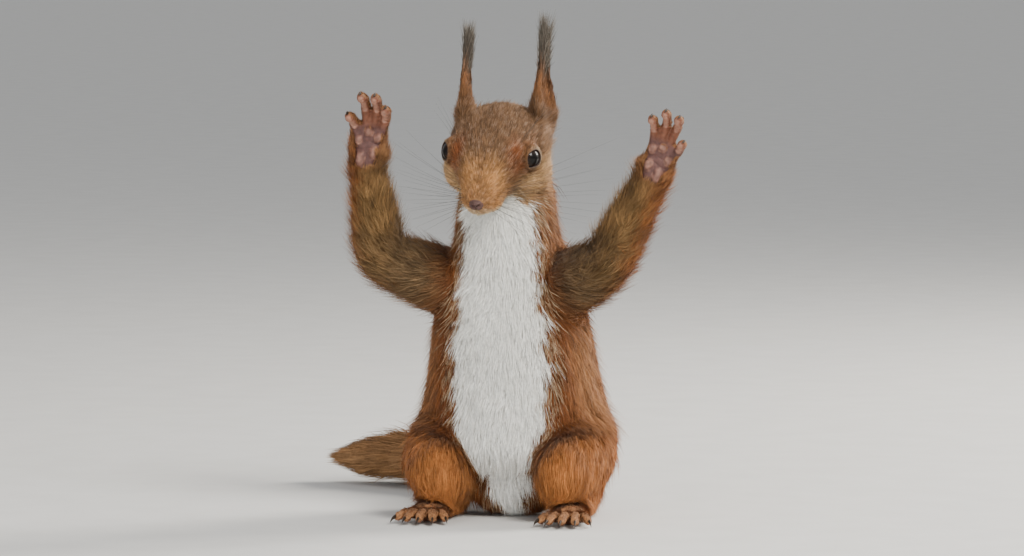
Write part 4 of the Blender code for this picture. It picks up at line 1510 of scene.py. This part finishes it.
def blades_mesh(name, paths, outs, widths, colours, maps):
    """One mesh of blades. Paths, outs and colours are lists from the root to the tip."""
    count, rows = len(maps), len(paths)
    dirs = [unit(paths[min(i + 1, rows - 1)] - paths[max(i - 1, 0)]) for i in range(rows)]
    points, shades, places = [], [], []
    for i in range(rows - 1):
        side = unit(np.cross(dirs[i], outs[i]))
        half = widths * (0.5 if i < rows - 2 or rows == 2 else 0.42)
        spread = 0.5 - 0.1 * i
        for sign in (-1, 1):
            points.append(paths[i] + side * (half * sign)[:, None])
            shades.append(colours[i])
            places.append(maps + PATCH * np.array((sign * spread, i / (rows - 1) - 0.5)))
    points.append(paths[-1])
    shades.append(colours[-1])
    places.append(maps + PATCH * np.array((0, 0.5)))
    per = len(points)
    points = np.stack(points, axis=1).reshape(-1, 3)
    shades = np.stack(shades, axis=1).reshape(-1, 3)
    places = np.stack(places, axis=1).reshape(-1, 2)
    pattern = []
    for i in range(rows - 2):
        a = 2 * i
        pattern += [a, a + 1, a + 3, a, a + 3, a + 2]
    pattern += [per - 3, per - 2, per - 1]
    index = (np.arange(count)[:, None] * per + np.array(pattern)).ravel()
    mesh = bpy.data.meshes.new(name)
    mesh.vertices.add(len(points))
    mesh.vertices.foreach_set("co", points.astype(np.float32).ravel())
    mesh.loops.add(len(index))
    mesh.loops.foreach_set("vertex_index", index.astype(np.int32))
    mesh.polygons.add(len(index) // 3)
    mesh.polygons.foreach_set("loop_start", np.arange(0, len(index), 3, dtype=np.int32))
    layer = mesh.uv_layers.new(name="OFBake")
    layer.data.foreach_set("uv", places[index].astype(np.float32).ravel())
    set_shade(mesh, shades)
    mesh.update(calc_edges=True)
    mesh.shade_smooth()
    place_in_frame(mesh)
    thing = bpy.data.objects.new(name, mesh)
    bpy.context.scene.collection.objects.link(thing)
    print(name, count, "tufts,", len(index) // 3, "triangles")
    return thing


# %% [markdown]
# ## Fur material
# Fur is matt with a soft bloom where light grazes it. The colour is read from the tufts, a fine noise
# breaks it up, and the sheen gives the bloom.


# %% The coat's material
def new_material(name):
    """A new material, with its nodes, its links and its main shader."""
    material = bpy.data.materials.new(name)
    material.use_nodes = True
    nodes = material.node_tree.nodes
    return material, nodes, material.node_tree.links, nodes["Principled BSDF"]


def add_noise(nodes, links, scale, detail):
    """A noise in the object's own coordinates."""
    coords = nodes.new("ShaderNodeTexCoord")
    noise = nodes.new("ShaderNodeTexNoise")
    noise.inputs["Scale"].default_value = scale
    noise.inputs["Detail"].default_value = detail
    links.new(coords.outputs["Object"], noise.inputs["Vector"])
    return noise


def mottled_shade(nodes, links, shader, noise, low, high, darkest, lightest):
    """The mesh's own colour, made darker and lighter where the noise goes from low to high."""
    shade = nodes.new("ShaderNodeAttribute")
    shade.attribute_name = "shade"
    ramp = nodes.new("ShaderNodeMapRange")
    ramp.inputs["From Min"].default_value = low
    ramp.inputs["From Max"].default_value = high
    ramp.inputs["To Min"].default_value = darkest
    ramp.inputs["To Max"].default_value = lightest
    links.new(noise.outputs["Fac"], ramp.inputs["Value"])
    mix = nodes.new("ShaderNodeVectorMath")
    mix.operation = "SCALE"
    links.new(shade.outputs["Color"], mix.inputs[0])
    links.new(ramp.outputs["Result"], mix.inputs["Scale"])
    links.new(mix.outputs["Vector"], shader.inputs["Base Color"])


fur_material, nodes, links, shader = new_material("coat of fine hair")
mottled_shade(nodes, links, shader, add_noise(nodes, links, 900, 3), 0.3, 0.7, 0.82, 1.15)
shader.inputs["Roughness"].default_value = 0.62
shader.inputs["Specular IOR Level"].default_value = 0.15
shader.inputs["Sheen Weight"].default_value = 0.1
shader.inputs["Sheen Roughness"].default_value = 0.5
shader.inputs["Sheen Tint"].default_value = (1.0, 0.9, 0.8, 1)
print("nodes in the coat's material:", len(nodes))

# %% [markdown]
# ## The coat's pieces
# One mesh for the whole coat would be too heavy to handle, so it is parted by region: head, neck, chest,
# back, arms, legs and paws. The parting lines can't be seen, because tufts cross them.

# %% Parting the coat
largest = np.argmax(np.stack([root_shares[part] for part in PARTS]), axis=0)
part_of = np.array(PARTS)[largest]
is_front = roots[:, 1] < 4
is_left = roots[:, 0] > 0
REGIONS = {
    "coat_head": part_of == "head",
    "coat_neck": part_of == "neck",
    "coat_belly": (part_of == "trunk") & is_front,
    "coat_right_back": (part_of == "trunk") & ~is_front & ~is_left,
    "coat_left_back": (part_of == "trunk") & ~is_front & is_left,
    "coat_right_arm": np.isin(part_of, ("arm", "forearm")) & ~is_left,
    "coat_left_arm": np.isin(part_of, ("arm", "forearm")) & is_left,
    "coat_right_leg": np.isin(part_of, ("haunch", "shank")) & ~is_left,
    "coat_left_leg": np.isin(part_of, ("haunch", "shank")) & is_left,
    "coat_ears_and_paws": np.isin(part_of, ("ear", "hand", "foot")),
}
QUICK_WIDTH = 1.0  # fewer tufts are drawn wider
roll = rng.normal(0, 0.35, total)
coat_pieces = []
for name, region in REGIONS.items():
    outs = [root_normals[region], out_middle[region]]
    lean = (roll[region] * np.where(root_white[region] > 0, 0.4, 1.0))[:, None]
    outs = [unit(out + np.cross(out, way[region]) * lean) for out in outs]
    paths = [starts[region], middles[region], tips[region]]
    colours = [start_colour[region], base_colour[region], tip_colour[region]]
    widths = root_width[region] * QUICK_WIDTH * rng.uniform(0.75, 1.2, int(region.sum()))
    widths = widths * np.where(proud[region], 0.65, 1.0)
    coat_pieces.append(blades_mesh(name, paths, outs, widths, colours, root_map[region]))

# %% [markdown]
# ## The tail
# The tail's bones are a thin tapering rod, and nearly all of its size is hair. Each hair starts on the
# rod and runs along the tail's own curve while it moves out to the edge, so the brush keeps its shape
# round the bend. Where it lies on the floor the hair is flattened.

# %% The tail's own curve
tail_line = np.array(eased(TAIL, 24))
tail_centre = tail_line[:, :3]
tail_way = unit(np.gradient(tail_centre, axis=0))
tail_side = unit(np.cross(tail_way, np.array((0, 0, 1.0))))
tail_up = np.cross(tail_side, tail_way)
tail_run = np.concatenate([[0], np.cumsum(np.linalg.norm(np.diff(tail_centre, axis=0), axis=1))])


def on_tail(run, angle, share):
    """Points at that run along the tail, angle round it and share of the way out to its edge."""
    beyond = np.maximum(run - tail_run[-1], 0)

    def read(values):
        return np.stack([np.interp(run, tail_run, values[:, i]) for i in range(values.shape[1])], axis=1)

    line, side, up, forth = read(tail_line), read(tail_side), read(tail_up), read(tail_way)
    across = np.cos(angle) * line[:, 3] * share
    above = np.sin(angle) * line[:, 4] * share
    return line[:, :3] + side * across[:, None] + up * above[:, None] + forth * beyond[:, None]


print("length along the tail:", round(float(tail_run[-1])), "mm")

# %% [markdown]
# The hairs are shorter near the tail's root. Those near its tip fill the brush from the middle out,
# which brings the end to a soft point. Like the rest of the coat they gather into locks.

# %% Hairs of the brush
TAIL_HAIRS = 52000
TAIL_LOCK = 24  # hairs to a lock, on the average
TAIL_LENGTHS = ((0, 30, 120, 170), (0.6, 0.9, 1.0, 0.9))  # mm along the tail, share of full length
TAIL_STEPS = ((0, 0), (0.3, 0.42), (0.65, 0.8), (1.0, 1.0))  # share of the hair, share of the way out
tail_count = TAIL_HAIRS // THINNING
start_run = rng.uniform(0.02, TAIL_CORE_END, tail_count) ** 0.9 * tail_run[-1]
angle = rng.uniform(0, 2 * math.pi, tail_count)
angle -= 0.35 * np.sin(2 * angle)
wander = ripple(np.stack([start_run, angle * 8, angle * 0], axis=1), 9, 31)
reach = rng.uniform(0.55, 1.0, tail_count) ** 0.6 * (0.85 + 0.15 * wander)
inner = rng.random(tail_count) ** 0.7
reach += (inner - reach) * step_up(start_run / tail_run[-1], 0.7, 0.84)
hair = rng.uniform(17, 30, tail_count) * np.interp(start_run, *TAIL_LENGTHS)
tail_leader = leaders_of(on_tail(start_run + hair * 0.6, angle, np.ones(tail_count)), TAIL_LOCK)
reach *= rng.normal(1.0, 0.10, tail_count)[tail_leader]
loose_hair = rng.random(tail_count) < 0.1
reach = np.where(loose_hair, reach * rng.uniform(1.05, 1.3, tail_count), reach)
swirl = rng.normal(0, 0.12, tail_count) + 0.12 * np.sin(start_run * 0.22)
core = 0.28 * (1 - step_up(start_run / tail_run[-1], 0.6, 0.84))
rows = []
for share, out in TAIL_STEPS:
    run = start_run + hair * share
    rows.append(on_tail(run, angle + swirl * share, core + (reach - core) * out))
gathered = (rng.uniform(0.3, 0.75, tail_count) * np.where(loose_hair, 0.3, 1.0))[:, None]
spread = (rows[0] - rows[0][tail_leader]) * 0.35
together = np.linalg.norm(spread, axis=1, keepdims=True) < 3.5
for row, drawn in ((rows[2], 0.4), (rows[3], 1.0)):
    row += (row[tail_leader] + spread - row) * gathered * drawn * together
for row in rows:
    row[:, 2] = np.maximum(row[:, 2], 0.35 + rng.random(tail_count) * 0.8)
outs = [unit(rows[1] - on_tail(start_run, angle, 0 * angle))] * len(rows)
print("tail hairs:", tail_count, "of them loose:", int(loose_hair.sum()))

# %% [markdown]
# The upper side of the tail is browner than its sides. Two hairs in five end dark and the rest end
# light, which gives the brush its streaks. It is made in two pieces, each light enough to handle.

# %% Colours and pieces of the brush
TAIL_WIDTH = 0.42
shade = (rng.uniform(0.78, 1.2, tail_count) * rng.uniform(0.78, 1.22, tail_count)[tail_leader])[:, None]
upper = np.clip(np.sin(angle), 0, 1)[:, None]
tail_red = (TAIL_SIDE * (1 - upper) + TAIL_TOP * upper) * shade
ends = np.where((rng.random(tail_count) < 0.4)[:, None], tail_red * 0.55, tail_red * 1.35)
tail_colours = [tail_red * 0.6, tail_red * 0.8, tail_red, ends]


def map_below(points):
    """The place on the hide's map of the triangle nearest to each point."""
    near_face = np.array([tree.find_nearest(Vector(point))[2] for point in points])
    return corner_map[near_face].mean(axis=1)


tail_map = map_below(rows[0])
parting = tail_run[-1] * 0.42
for name, region in (("coat_tail_root", start_run < parting), ("coat_tail_tip", start_run >= parting)):
    paths, leans, colours = ([row[region] for row in group] for group in (rows, outs, tail_colours))
    widths = TAIL_WIDTH * QUICK_WIDTH * rng.uniform(0.7, 1.2, int(region.sum()))
    coat_pieces.append(blades_mesh(name, paths, leans, widths, colours, tail_map[region]))

# %% [markdown]
# ## Ear tufts
# The long dark tuft is a brush of hairs from the rim and the tip of the ear. They stand nearly upright,
# part a little and thin out to the top.

# %% Tufts of the ears
EAR_TUFTS = {"right": 22.5, "left": 25.5}  # mm that the longest hairs stand above the tip
TUFT_SPREADS = {"right": 1.7, "left": 1.9}  # how far they part at their tops
TUFT_LEANS = {"right": 1.3, "left": 0.0}  # mm that their ends lie to the animal's left
TUFT_HAIRS = 2600
TUFT_LOCKS = 14
TUFT_WIDTH = 0.24 * 1
for side in SIDES:
    place = np.array(ear_frame(side))
    count = TUFT_HAIRS // THINNING
    low = rng.uniform(0.62, 1.0, count) ** 0.5
    edge = rng.uniform(-1, 1, count)
    half = EAR_HALF_WIDTH * (0.85 + 0.5 * low - low**4) - 0.5
    bow = EAR_CUP * 0.5 * (edge**2 - 0.4)
    start = np.stack([edge * half * 0.74, rng.normal(0, 0.6, count) + bow, EAR_HEIGHT * low - 4.5], axis=1)
    reach = rng.uniform(0, 1, count)
    rise = EAR_HEIGHT - 3 + EAR_TUFTS[side] * (0.2 + 0.8 * reach**1.9) - start[:, 2]
    rise *= np.interp(low, [0.7, 0.95], [0.55, 1.0])
    gather = np.stack([rng.normal(0, 1.0, count), rng.normal(0, 0.9, count)], axis=1)
    locks = rng.normal(0, 1.0, (TUFT_LOCKS, 2))
    lock_of = rng.integers(0, TUFT_LOCKS, count)
    gather = gather * 0.55 + locks[lock_of] * (0.3 + 0.75 * reach)[:, None]
    paths = [start]
    for share, drawn in ((0.35, 0.3), (0.7, 0.75), (1.0, 1.0)):
        part = 0.65 + (TUFT_SPREADS[side] - 0.65) * share**2
        flat = start[:, :2] * (1 - drawn) + gather * part * drawn
        flat[:, 1] += 0.5 * share
        paths.append(np.column_stack([flat, start[:, 2] + rise * share]))
    paths = [p @ place[:3, :3].T + place[:3, 3] for p in paths]
    for path, share in zip(paths, (0, 0.25, 0.65, 1.0)):
        path[:, 0] += TUFT_LEANS[side] * share
    out = unit(rng.normal(size=(count, 3)) * np.array((1, 1, 0.1)))
    shade = rng.uniform(0.4, 1.6, count)[:, None]
    base = EAR_BACK + (TUFT - EAR_BACK) * step_up(paths[0][:, 2], 176, 188)[:, None]
    colours = [base * shade * 0.8, (base * 0.7 + TUFT * 0.3) * shade, TUFT * shade, TUFT * shade * 1.25]
    widths = TUFT_WIDTH * rng.uniform(0.7, 1.2, count)
    tuft_map = map_below(paths[0])
    name = f"coat_tuft_{side}"
    coat_pieces.append(blades_mesh(name, paths, [out] * 4, widths, colours, tuft_map))

# %% [markdown]
# Every piece of the coat has the same fur material, and each is attached to the root body.

# %% Dressing the coat
for piece in coat_pieces:
    piece.data.materials.append(fur_material)
    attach(piece, "root")
print("pieces of the coat:", len(coat_pieces))

# %% [markdown]
# ## The skin's colours
# Under the coat the skin carries the same markings, so no gap between tufts shows a wrong colour. Where
# it is bare it is a grey pink on the nose and a darker mauve brown on the palms, with paler pads.

# %% Colouring the skin
PALM_SKIN = np.array((0.105, 0.050, 0.043))
PAD_SKIN = np.array((0.37, 0.19, 0.135))
FINGER_SKIN = np.array((0.185, 0.072, 0.042))
NOSE_SKIN = np.array((0.085, 0.045, 0.038))
LID_SKIN = np.array((0.02, 0.012, 0.01))
points = points_of(skin.data).astype(float)
normals = normals_of(skin.data).astype(float)
skin_shares, _ = shares_of(points)
skin_fur = fur_share(points, normals, skin_shares)
edge = white_share(points, normals, skin_shares) + 1.2 * ripple(points, *EDGE_WANDER)
under = red_colour(points, normals, skin_shares) * 0.55
mix = step_up(edge, -1.5, 1.5)[:, None]
skin_colour = under * (1 - mix) + WHITE * 0.72 * mix
bare_colour = np.broadcast_to(PALM_SKIN, points.shape).copy()
for side in SIDES:
    local = in_frame(points, hand_frame(side))
    near = within(local, 36)
    paint(bare_colour, FINGER_SKIN, near * step_up(local[:, 2], PALM_LENGTH - 1, PALM_LENGTH + 3))
    for centre, sizes in PALM_PADS:
        gap = np.linalg.norm((local - np.array(centre)) / np.array(sizes), axis=1)
        gap += 0.12 * ripple(points, 2.2, 71)
        pad = (near * (1 - step_up(gap, 0.7, 1.25)) * step_up(local[:, 1], 1.5, 3.0))[:, None]
        bare_colour += (PAD_SKIN - bare_colour) * pad * (0.7 + 0.2 * ripple(points, 3.0, 72)[:, None])
in_head = in_frame(points, TO_BODY)
paint(bare_colour, NOSE_SKIN, in_head[:, 1] > 30)
paint(bare_colour, FINGER_SKIN * 0.8, skin_shares["foot"])
for line in pad_lines:
    gap = distance_to_path(points, line) + 0.25 * ripple(points, 2.0, 73)
    pad = (1 - step_up(gap, 0.7, 1.6))[:, None]
    bare_colour += (PAD_SKIN * 1.05 - bare_colour) * pad * 0.8
for side in SIDES:
    local = in_frame(points, eye_frame(side))
    lid = within(local, 12, -3) * (1 - step_up(lid_share(local), 1.08, 1.18))
    paint(bare_colour, LID_SKIN, lid)
    skin_fur *= 1 - lid
show = step_up(skin_fur, 0.15, 0.6)[:, None]
skin_colour = bare_colour * (1 - show) + skin_colour * show
# painted shade: the skin is darkened inside the pressed mouth, nostrils and cleft of the lip
groove = np.zeros(len(points))
for path in (*mouth, *nostrils):
    groove += np.exp(-((distance_to_path(in_head, path) / 0.45) ** 2))
groove += 0.7 * np.exp(-((distance_to_path(in_head, cleft) / 0.3) ** 2))
skin_colour *= 1 - 0.9 * np.clip(groove, 0, 1)[:, None]
set_shade(skin.data, skin_colour)
print("bare share of the skin:", round(float(1 - show.mean()), 3))

# %% [markdown]
# ## Skin material
# Bare skin has a fine grain of creases, so a small cell pattern and a noise drive its bump. It lets a
# little light in, which softens the fingers.


# %% The skin's material
def add_bump(nodes, links, height, strength, distance):
    """A bump from the height given, whose full height is that distance in metres."""
    bump = nodes.new("ShaderNodeBump")
    bump.inputs["Strength"].default_value = strength
    bump.inputs["Distance"].default_value = distance
    links.new(height, bump.inputs["Height"])
    return bump


skin_material, nodes, links, shader = new_material("bare skin and underfur")
coords = nodes.new("ShaderNodeTexCoord")
cells = nodes.new("ShaderNodeTexVoronoi")
cells.feature = "DISTANCE_TO_EDGE"
cells.inputs["Scale"].default_value = 1700
links.new(coords.outputs["Object"], cells.inputs["Vector"])
grain = add_noise(nodes, links, 700, 6)
bump_cells = add_bump(nodes, links, cells.outputs["Distance"], 0.25, 0.0002)
bump_grain = add_bump(nodes, links, grain.outputs["Fac"], 0.35, 0.0003)
links.new(bump_cells.outputs["Normal"], bump_grain.inputs["Normal"])
links.new(bump_grain.outputs["Normal"], shader.inputs["Normal"])
mottled_shade(nodes, links, shader, grain, 0.35, 0.65, 0.82, 1.14)
shader.inputs["Roughness"].default_value = 0.6
shader.inputs["Specular IOR Level"].default_value = 0.22
shader.inputs["Subsurface Weight"].default_value = 0.12
shader.inputs["Subsurface Radius"].default_value = (0.9, 0.3, 0.2)
shader.inputs["Subsurface Scale"].default_value = 0.0012
skin.data.materials.clear()
skin.data.materials.append(skin_material)
place_in_frame(skin.data)
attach(skin, "root")
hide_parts(*[name for name in frame["nodes"] if not name.startswith("eye_")])
print("skin dressed:", len(skin.data.vertices), "points")

# %% [markdown]
# ## Eyes
# A squirrel's eye is a large, nearly black bead under a clear wet cornea. A ball slightly domed to the
# front, with a deep brown iris round a wide pupil and a glossy coat, gives both the depth and the shine.


# %% The eyes
PUPIL = np.array((0.003, 0.002, 0.002))
IRIS = np.array((0.011, 0.005, 0.003))
EYE_RIM = np.array((0.006, 0.004, 0.003))
CORNEA = (0.72, 0.22)  # its half width as a share of the ball's, and its rise in mm


def add_eye(side):
    """One eye, with the colours of its pupil, iris and rim in rings round its axis."""
    place = eye_frame(side)
    bm = bmesh.new()
    bmesh.ops.create_uvsphere(bm, u_segments=48, v_segments=32, radius=EYE_RADIUS - 0.12)
    for vert in bm.verts:
        off_axis = math.hypot(vert.co.x, vert.co.y) / EYE_RADIUS
        if vert.co.z > 0 and off_axis < CORNEA[0]:
            vert.co.z += CORNEA[1] * (1 - (off_axis / CORNEA[0]) ** 2) ** 1.5
    bmesh.ops.transform(bm, matrix=place, verts=bm.verts)
    eye = mesh_object(f"eye_ball_{side}", bm)
    eye.data.shade_smooth()
    local = in_frame(points_of(eye.data).astype(float), place)
    angle = np.arctan2(np.hypot(local[:, 0], local[:, 1]), local[:, 2])
    mix = step_up(angle, 0.36, 0.46)[:, None]
    rim = step_up(angle, 0.8, 0.95)[:, None]
    set_shade(eye.data, (PUPIL * (1 - mix) + IRIS * mix) * (1 - rim) + EYE_RIM * rim)
    place_in_frame(eye.data)
    return eye


eye_material, nodes, links, shader = new_material("wet dark eye")
shade = nodes.new("ShaderNodeAttribute")
shade.attribute_name = "shade"
links.new(shade.outputs["Color"], shader.inputs["Base Color"])
shader.inputs["Roughness"].default_value = 0.35
shader.inputs["Specular IOR Level"].default_value = 0.08
shader.inputs["Coat Weight"].default_value = 0.45
shader.inputs["Coat Roughness"].default_value = 0.02
shader.inputs["Coat IOR"].default_value = 1.36
for side in SIDES:
    eye = add_eye(side)
    eye.data.materials.append(eye_material)
    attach(eye, "root")
    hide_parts(f"eye_{side}")
print("eyes:", round(2 * EYE_RADIUS, 1), "mm across")

# %% [markdown]
# ## Claws
# Claws are curved and taper to a point. Each one is a short tube swept along an arc that bends the same
# way as its finger, and all of them are one piece.

# %% The claws
CLAW_STEPS = ((0, 1.0), (0.15, 1.0), (0.35, 0.85), (0.55, 0.65), (0.75, 0.44), (0.9, 0.26), (1, 0.12))
CLAW_HALF = (0.45, 0.8)  # half width and half height at the root


def noise_tone(nodes, links, shader, scale, low, high):
    """A colour that wanders between two tones with a fine noise."""
    grain = add_noise(nodes, links, scale, 4)
    tone = nodes.new("ShaderNodeValToRGB")
    tone.color_ramp.elements[0].position = 0.3
    tone.color_ramp.elements[1].position = 0.7
    tone.color_ramp.elements[0].color = low
    tone.color_ramp.elements[1].color = high
    links.new(grain.outputs["Fac"], tone.inputs["Fac"])
    links.new(tone.outputs["Color"], shader.inputs["Base Color"])


bm = bmesh.new()
for root, way, down, (reach, lift, bent) in claw_places:
    rows = []
    point = Vector(root)
    before = 0
    for share, thin in CLAW_STEPS:
        turn = bent * share - lift
        point = point + (way * math.cos(turn) + down * math.sin(turn)) * (share - before) * reach
        before = share
        rows.append((*point, *(half * thin for half in CLAW_HALF)))
    tube(bm, rows, side=way.cross(down), segments=10)
claws = mesh_object("claws", bm)
claws.data.shade_smooth()
points = points_of(claws.data)
points[:, 2] = np.maximum(points[:, 2], 0.3)
claws.data.vertices.foreach_set("co", points.ravel())
place_in_frame(claws.data)
claw_material, nodes, links, shader = new_material("dark horn")
noise_tone(nodes, links, shader, 1200, (0.010, 0.007, 0.005, 1), (0.04, 0.024, 0.015, 1))
shader.inputs["Roughness"].default_value = 0.55
shader.inputs["Specular IOR Level"].default_value = 0.3
claws.data.materials.append(claw_material)
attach(claws, "root")
print("claws:", len(claw_places))

# %% [markdown]
# ## Whiskers
# Long black whiskers stand in rows on the pads beside the nose, with a few over the eyes. They are thin
# tapering tubes that bow back and slightly down.

# %% The whiskers
CHEEK_ROWS, CHEEK_COLUMNS, BROW_WHISKERS = 4, 5, 3
CHEEK_HALF, BROW_HALF = 0.07, 0.06  # half thickness at the root
BROW_REACH = 15


def add_whisker(bm, root, out, sag, shares, half, side):
    """A hair from its root in the head's frame. Out and sag are its straight reach and its bow."""
    rows = []
    for share in shares:
        thin = half * (1 - 0.8 * share)
        rows.append((*(TO_BODY @ (root + out * share + sag * share**2)), thin, thin))
    tube(bm, rows, side=side, segments=5)


bm = bmesh.new()
whisker_rng = np.random.default_rng(5)
for sign in SIDES.values():
    for row in range(CHEEK_ROWS):
        for column in range(CHEEK_COLUMNS):
            across = 5.6 + 0.35 * column - 0.35 * row
            root = Vector((across * sign, 34.5 - 2.1 * column, -4.6 - 1.55 * row))
            reach = (24 + 5.2 * column) * whisker_rng.uniform(0.85, 1.1)
            out = Vector((1.0 * sign, 0.35 - 0.24 * column, 0.3 - 0.26 * row)).normalized() * reach
            sag = Vector((0.1 * sign, -0.55, -0.25 - 0.05 * row)) * reach * 0.45
            add_whisker(bm, root, out, sag, (0, 0.2, 0.45, 0.7, 0.9, 1), CHEEK_HALF, (0, 0, 1))
    for column in range(BROW_WHISKERS):
        root = Vector(((12.5 + 0.8 * column) * sign, 17.5 - 2.5 * column, 10.5))
        out = Vector((0.5 * sign, 0.1 - 0.2 * column, 1)).normalized() * BROW_REACH
        sag = Vector((0.4 * sign, -0.6, -0.1)) * 7
        add_whisker(bm, root, out, sag, (0, 0.3, 0.65, 1), BROW_HALF, (0, 1, 0))
whiskers = mesh_object("whiskers", bm)
whiskers.data.shade_smooth()
place_in_frame(whiskers.data)
whisker_material, nodes, links, shader = new_material("black whisker")
noise_tone(nodes, links, shader, 300, (0.008, 0.006, 0.005, 1), (0.030, 0.022, 0.018, 1))
shader.inputs["Roughness"].default_value = 0.4
whiskers.data.materials.append(whisker_material)
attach(whiskers, "root")
print("whiskers:", len(SIDES) * (CHEEK_ROWS * CHEEK_COLUMNS + BROW_WHISKERS))

# %% [markdown]
# ## Floor, light and camera
# The model stands on a wide plain pale floor. A soft key before its left shoulder, a weaker fill from
# before its right, a warm rim light from behind its left and a cool sky give the look of a bright but
# overcast day.

# %% The stage
SKY, SKY_STRENGTH = (0.86, 0.875, 0.90, 1), 0.62
LIGHTS = (  # place, size across, watts, colour
    ("key", (0.75, -0.9, 1.0), 0.5, 24, (1.0, 0.97, 0.92)),
    ("fill", (-0.5, -1.4, 0.22), 0.6, 9, (0.94, 0.97, 1.0)),
    ("rim", (0.9, 0.7, 0.7), 0.5, 26, (1.0, 0.95, 0.88)),
)
centre = (cad_box[0] + cad_box[1]) / 2
bm = bmesh.new()
bmesh.ops.create_grid(bm, x_segments=1, y_segments=1, size=60.0)
floor = mesh_object("floor", bm)
floor_material, nodes, links, shader = new_material("pale floor")
noise_tone(nodes, links, shader, 40, (0.67, 0.66, 0.63, 1), (0.71, 0.70, 0.67, 1))
shader.inputs["Roughness"].default_value = 0.8
floor.data.materials.append(floor_material)
floor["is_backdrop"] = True

world = bpy.data.worlds.new("sky")
bpy.context.scene.world = world
world.use_nodes = True
background = world.node_tree.nodes["Background"]
background.inputs["Color"].default_value = SKY
background.inputs["Strength"].default_value = SKY_STRENGTH
for name, place, size, power, colour in LIGHTS:
    light = bpy.data.lights.new(name, "AREA")
    light.size = size
    light.energy = power
    light.color = colour
    lamp = bpy.data.objects.new(name, light)
    bpy.context.scene.collection.objects.link(lamp)
    lamp.location = Vector(place)
    lamp.rotation_euler = (centre - lamp.location).to_track_quat("-Z", "Y").to_euler()
print("lights:", len(LIGHTS))

# %% [markdown]
# A long lens from a little above the floor shows the animal as an onlooker lying in the grass would see
# it, slightly from its left, with almost no distortion.

# %% The camera
AZIMUTH, ELEVATION = math.radians(12), math.radians(4)
WIDTH_SEEN = 0.4198  # metres across the picture at the animal
LENS, SENSOR = 200.0, 36.0
level = math.cos(ELEVATION)
forth = Vector((-math.sin(AZIMUTH) * level, math.cos(AZIMUTH) * level, -math.sin(ELEVATION)))
aim = HOME + Vector((1.1, 0, 98.7)) * MM
camera = bpy.data.objects.new("camera", bpy.data.cameras.new("camera"))
bpy.context.scene.collection.objects.link(camera)
camera.data.lens = LENS
camera.data.sensor_width = SENSOR
camera.data.clip_end = 50
camera.location = aim - forth * (WIDTH_SEEN * LENS / SENSOR)
camera.rotation_euler = forth.to_track_quat("-Z", "Y").to_euler()
bpy.context.scene.camera = camera
print("camera at", [round(v, 3) for v in camera.location])

# %% [markdown]
# ## Sizes
# The dressed model is meant to fill about the same box as the solids, so both boxes are measured and the
# shift of each side is printed.

# %% Boxes and finish
new_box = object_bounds()
shifts = [new - old for old, new in zip((*cad_box[0], *cad_box[1]), (*new_box[0], *new_box[1]))]
print("moved by, in mm:", [round(shift / MM, 1) for shift in shifts])
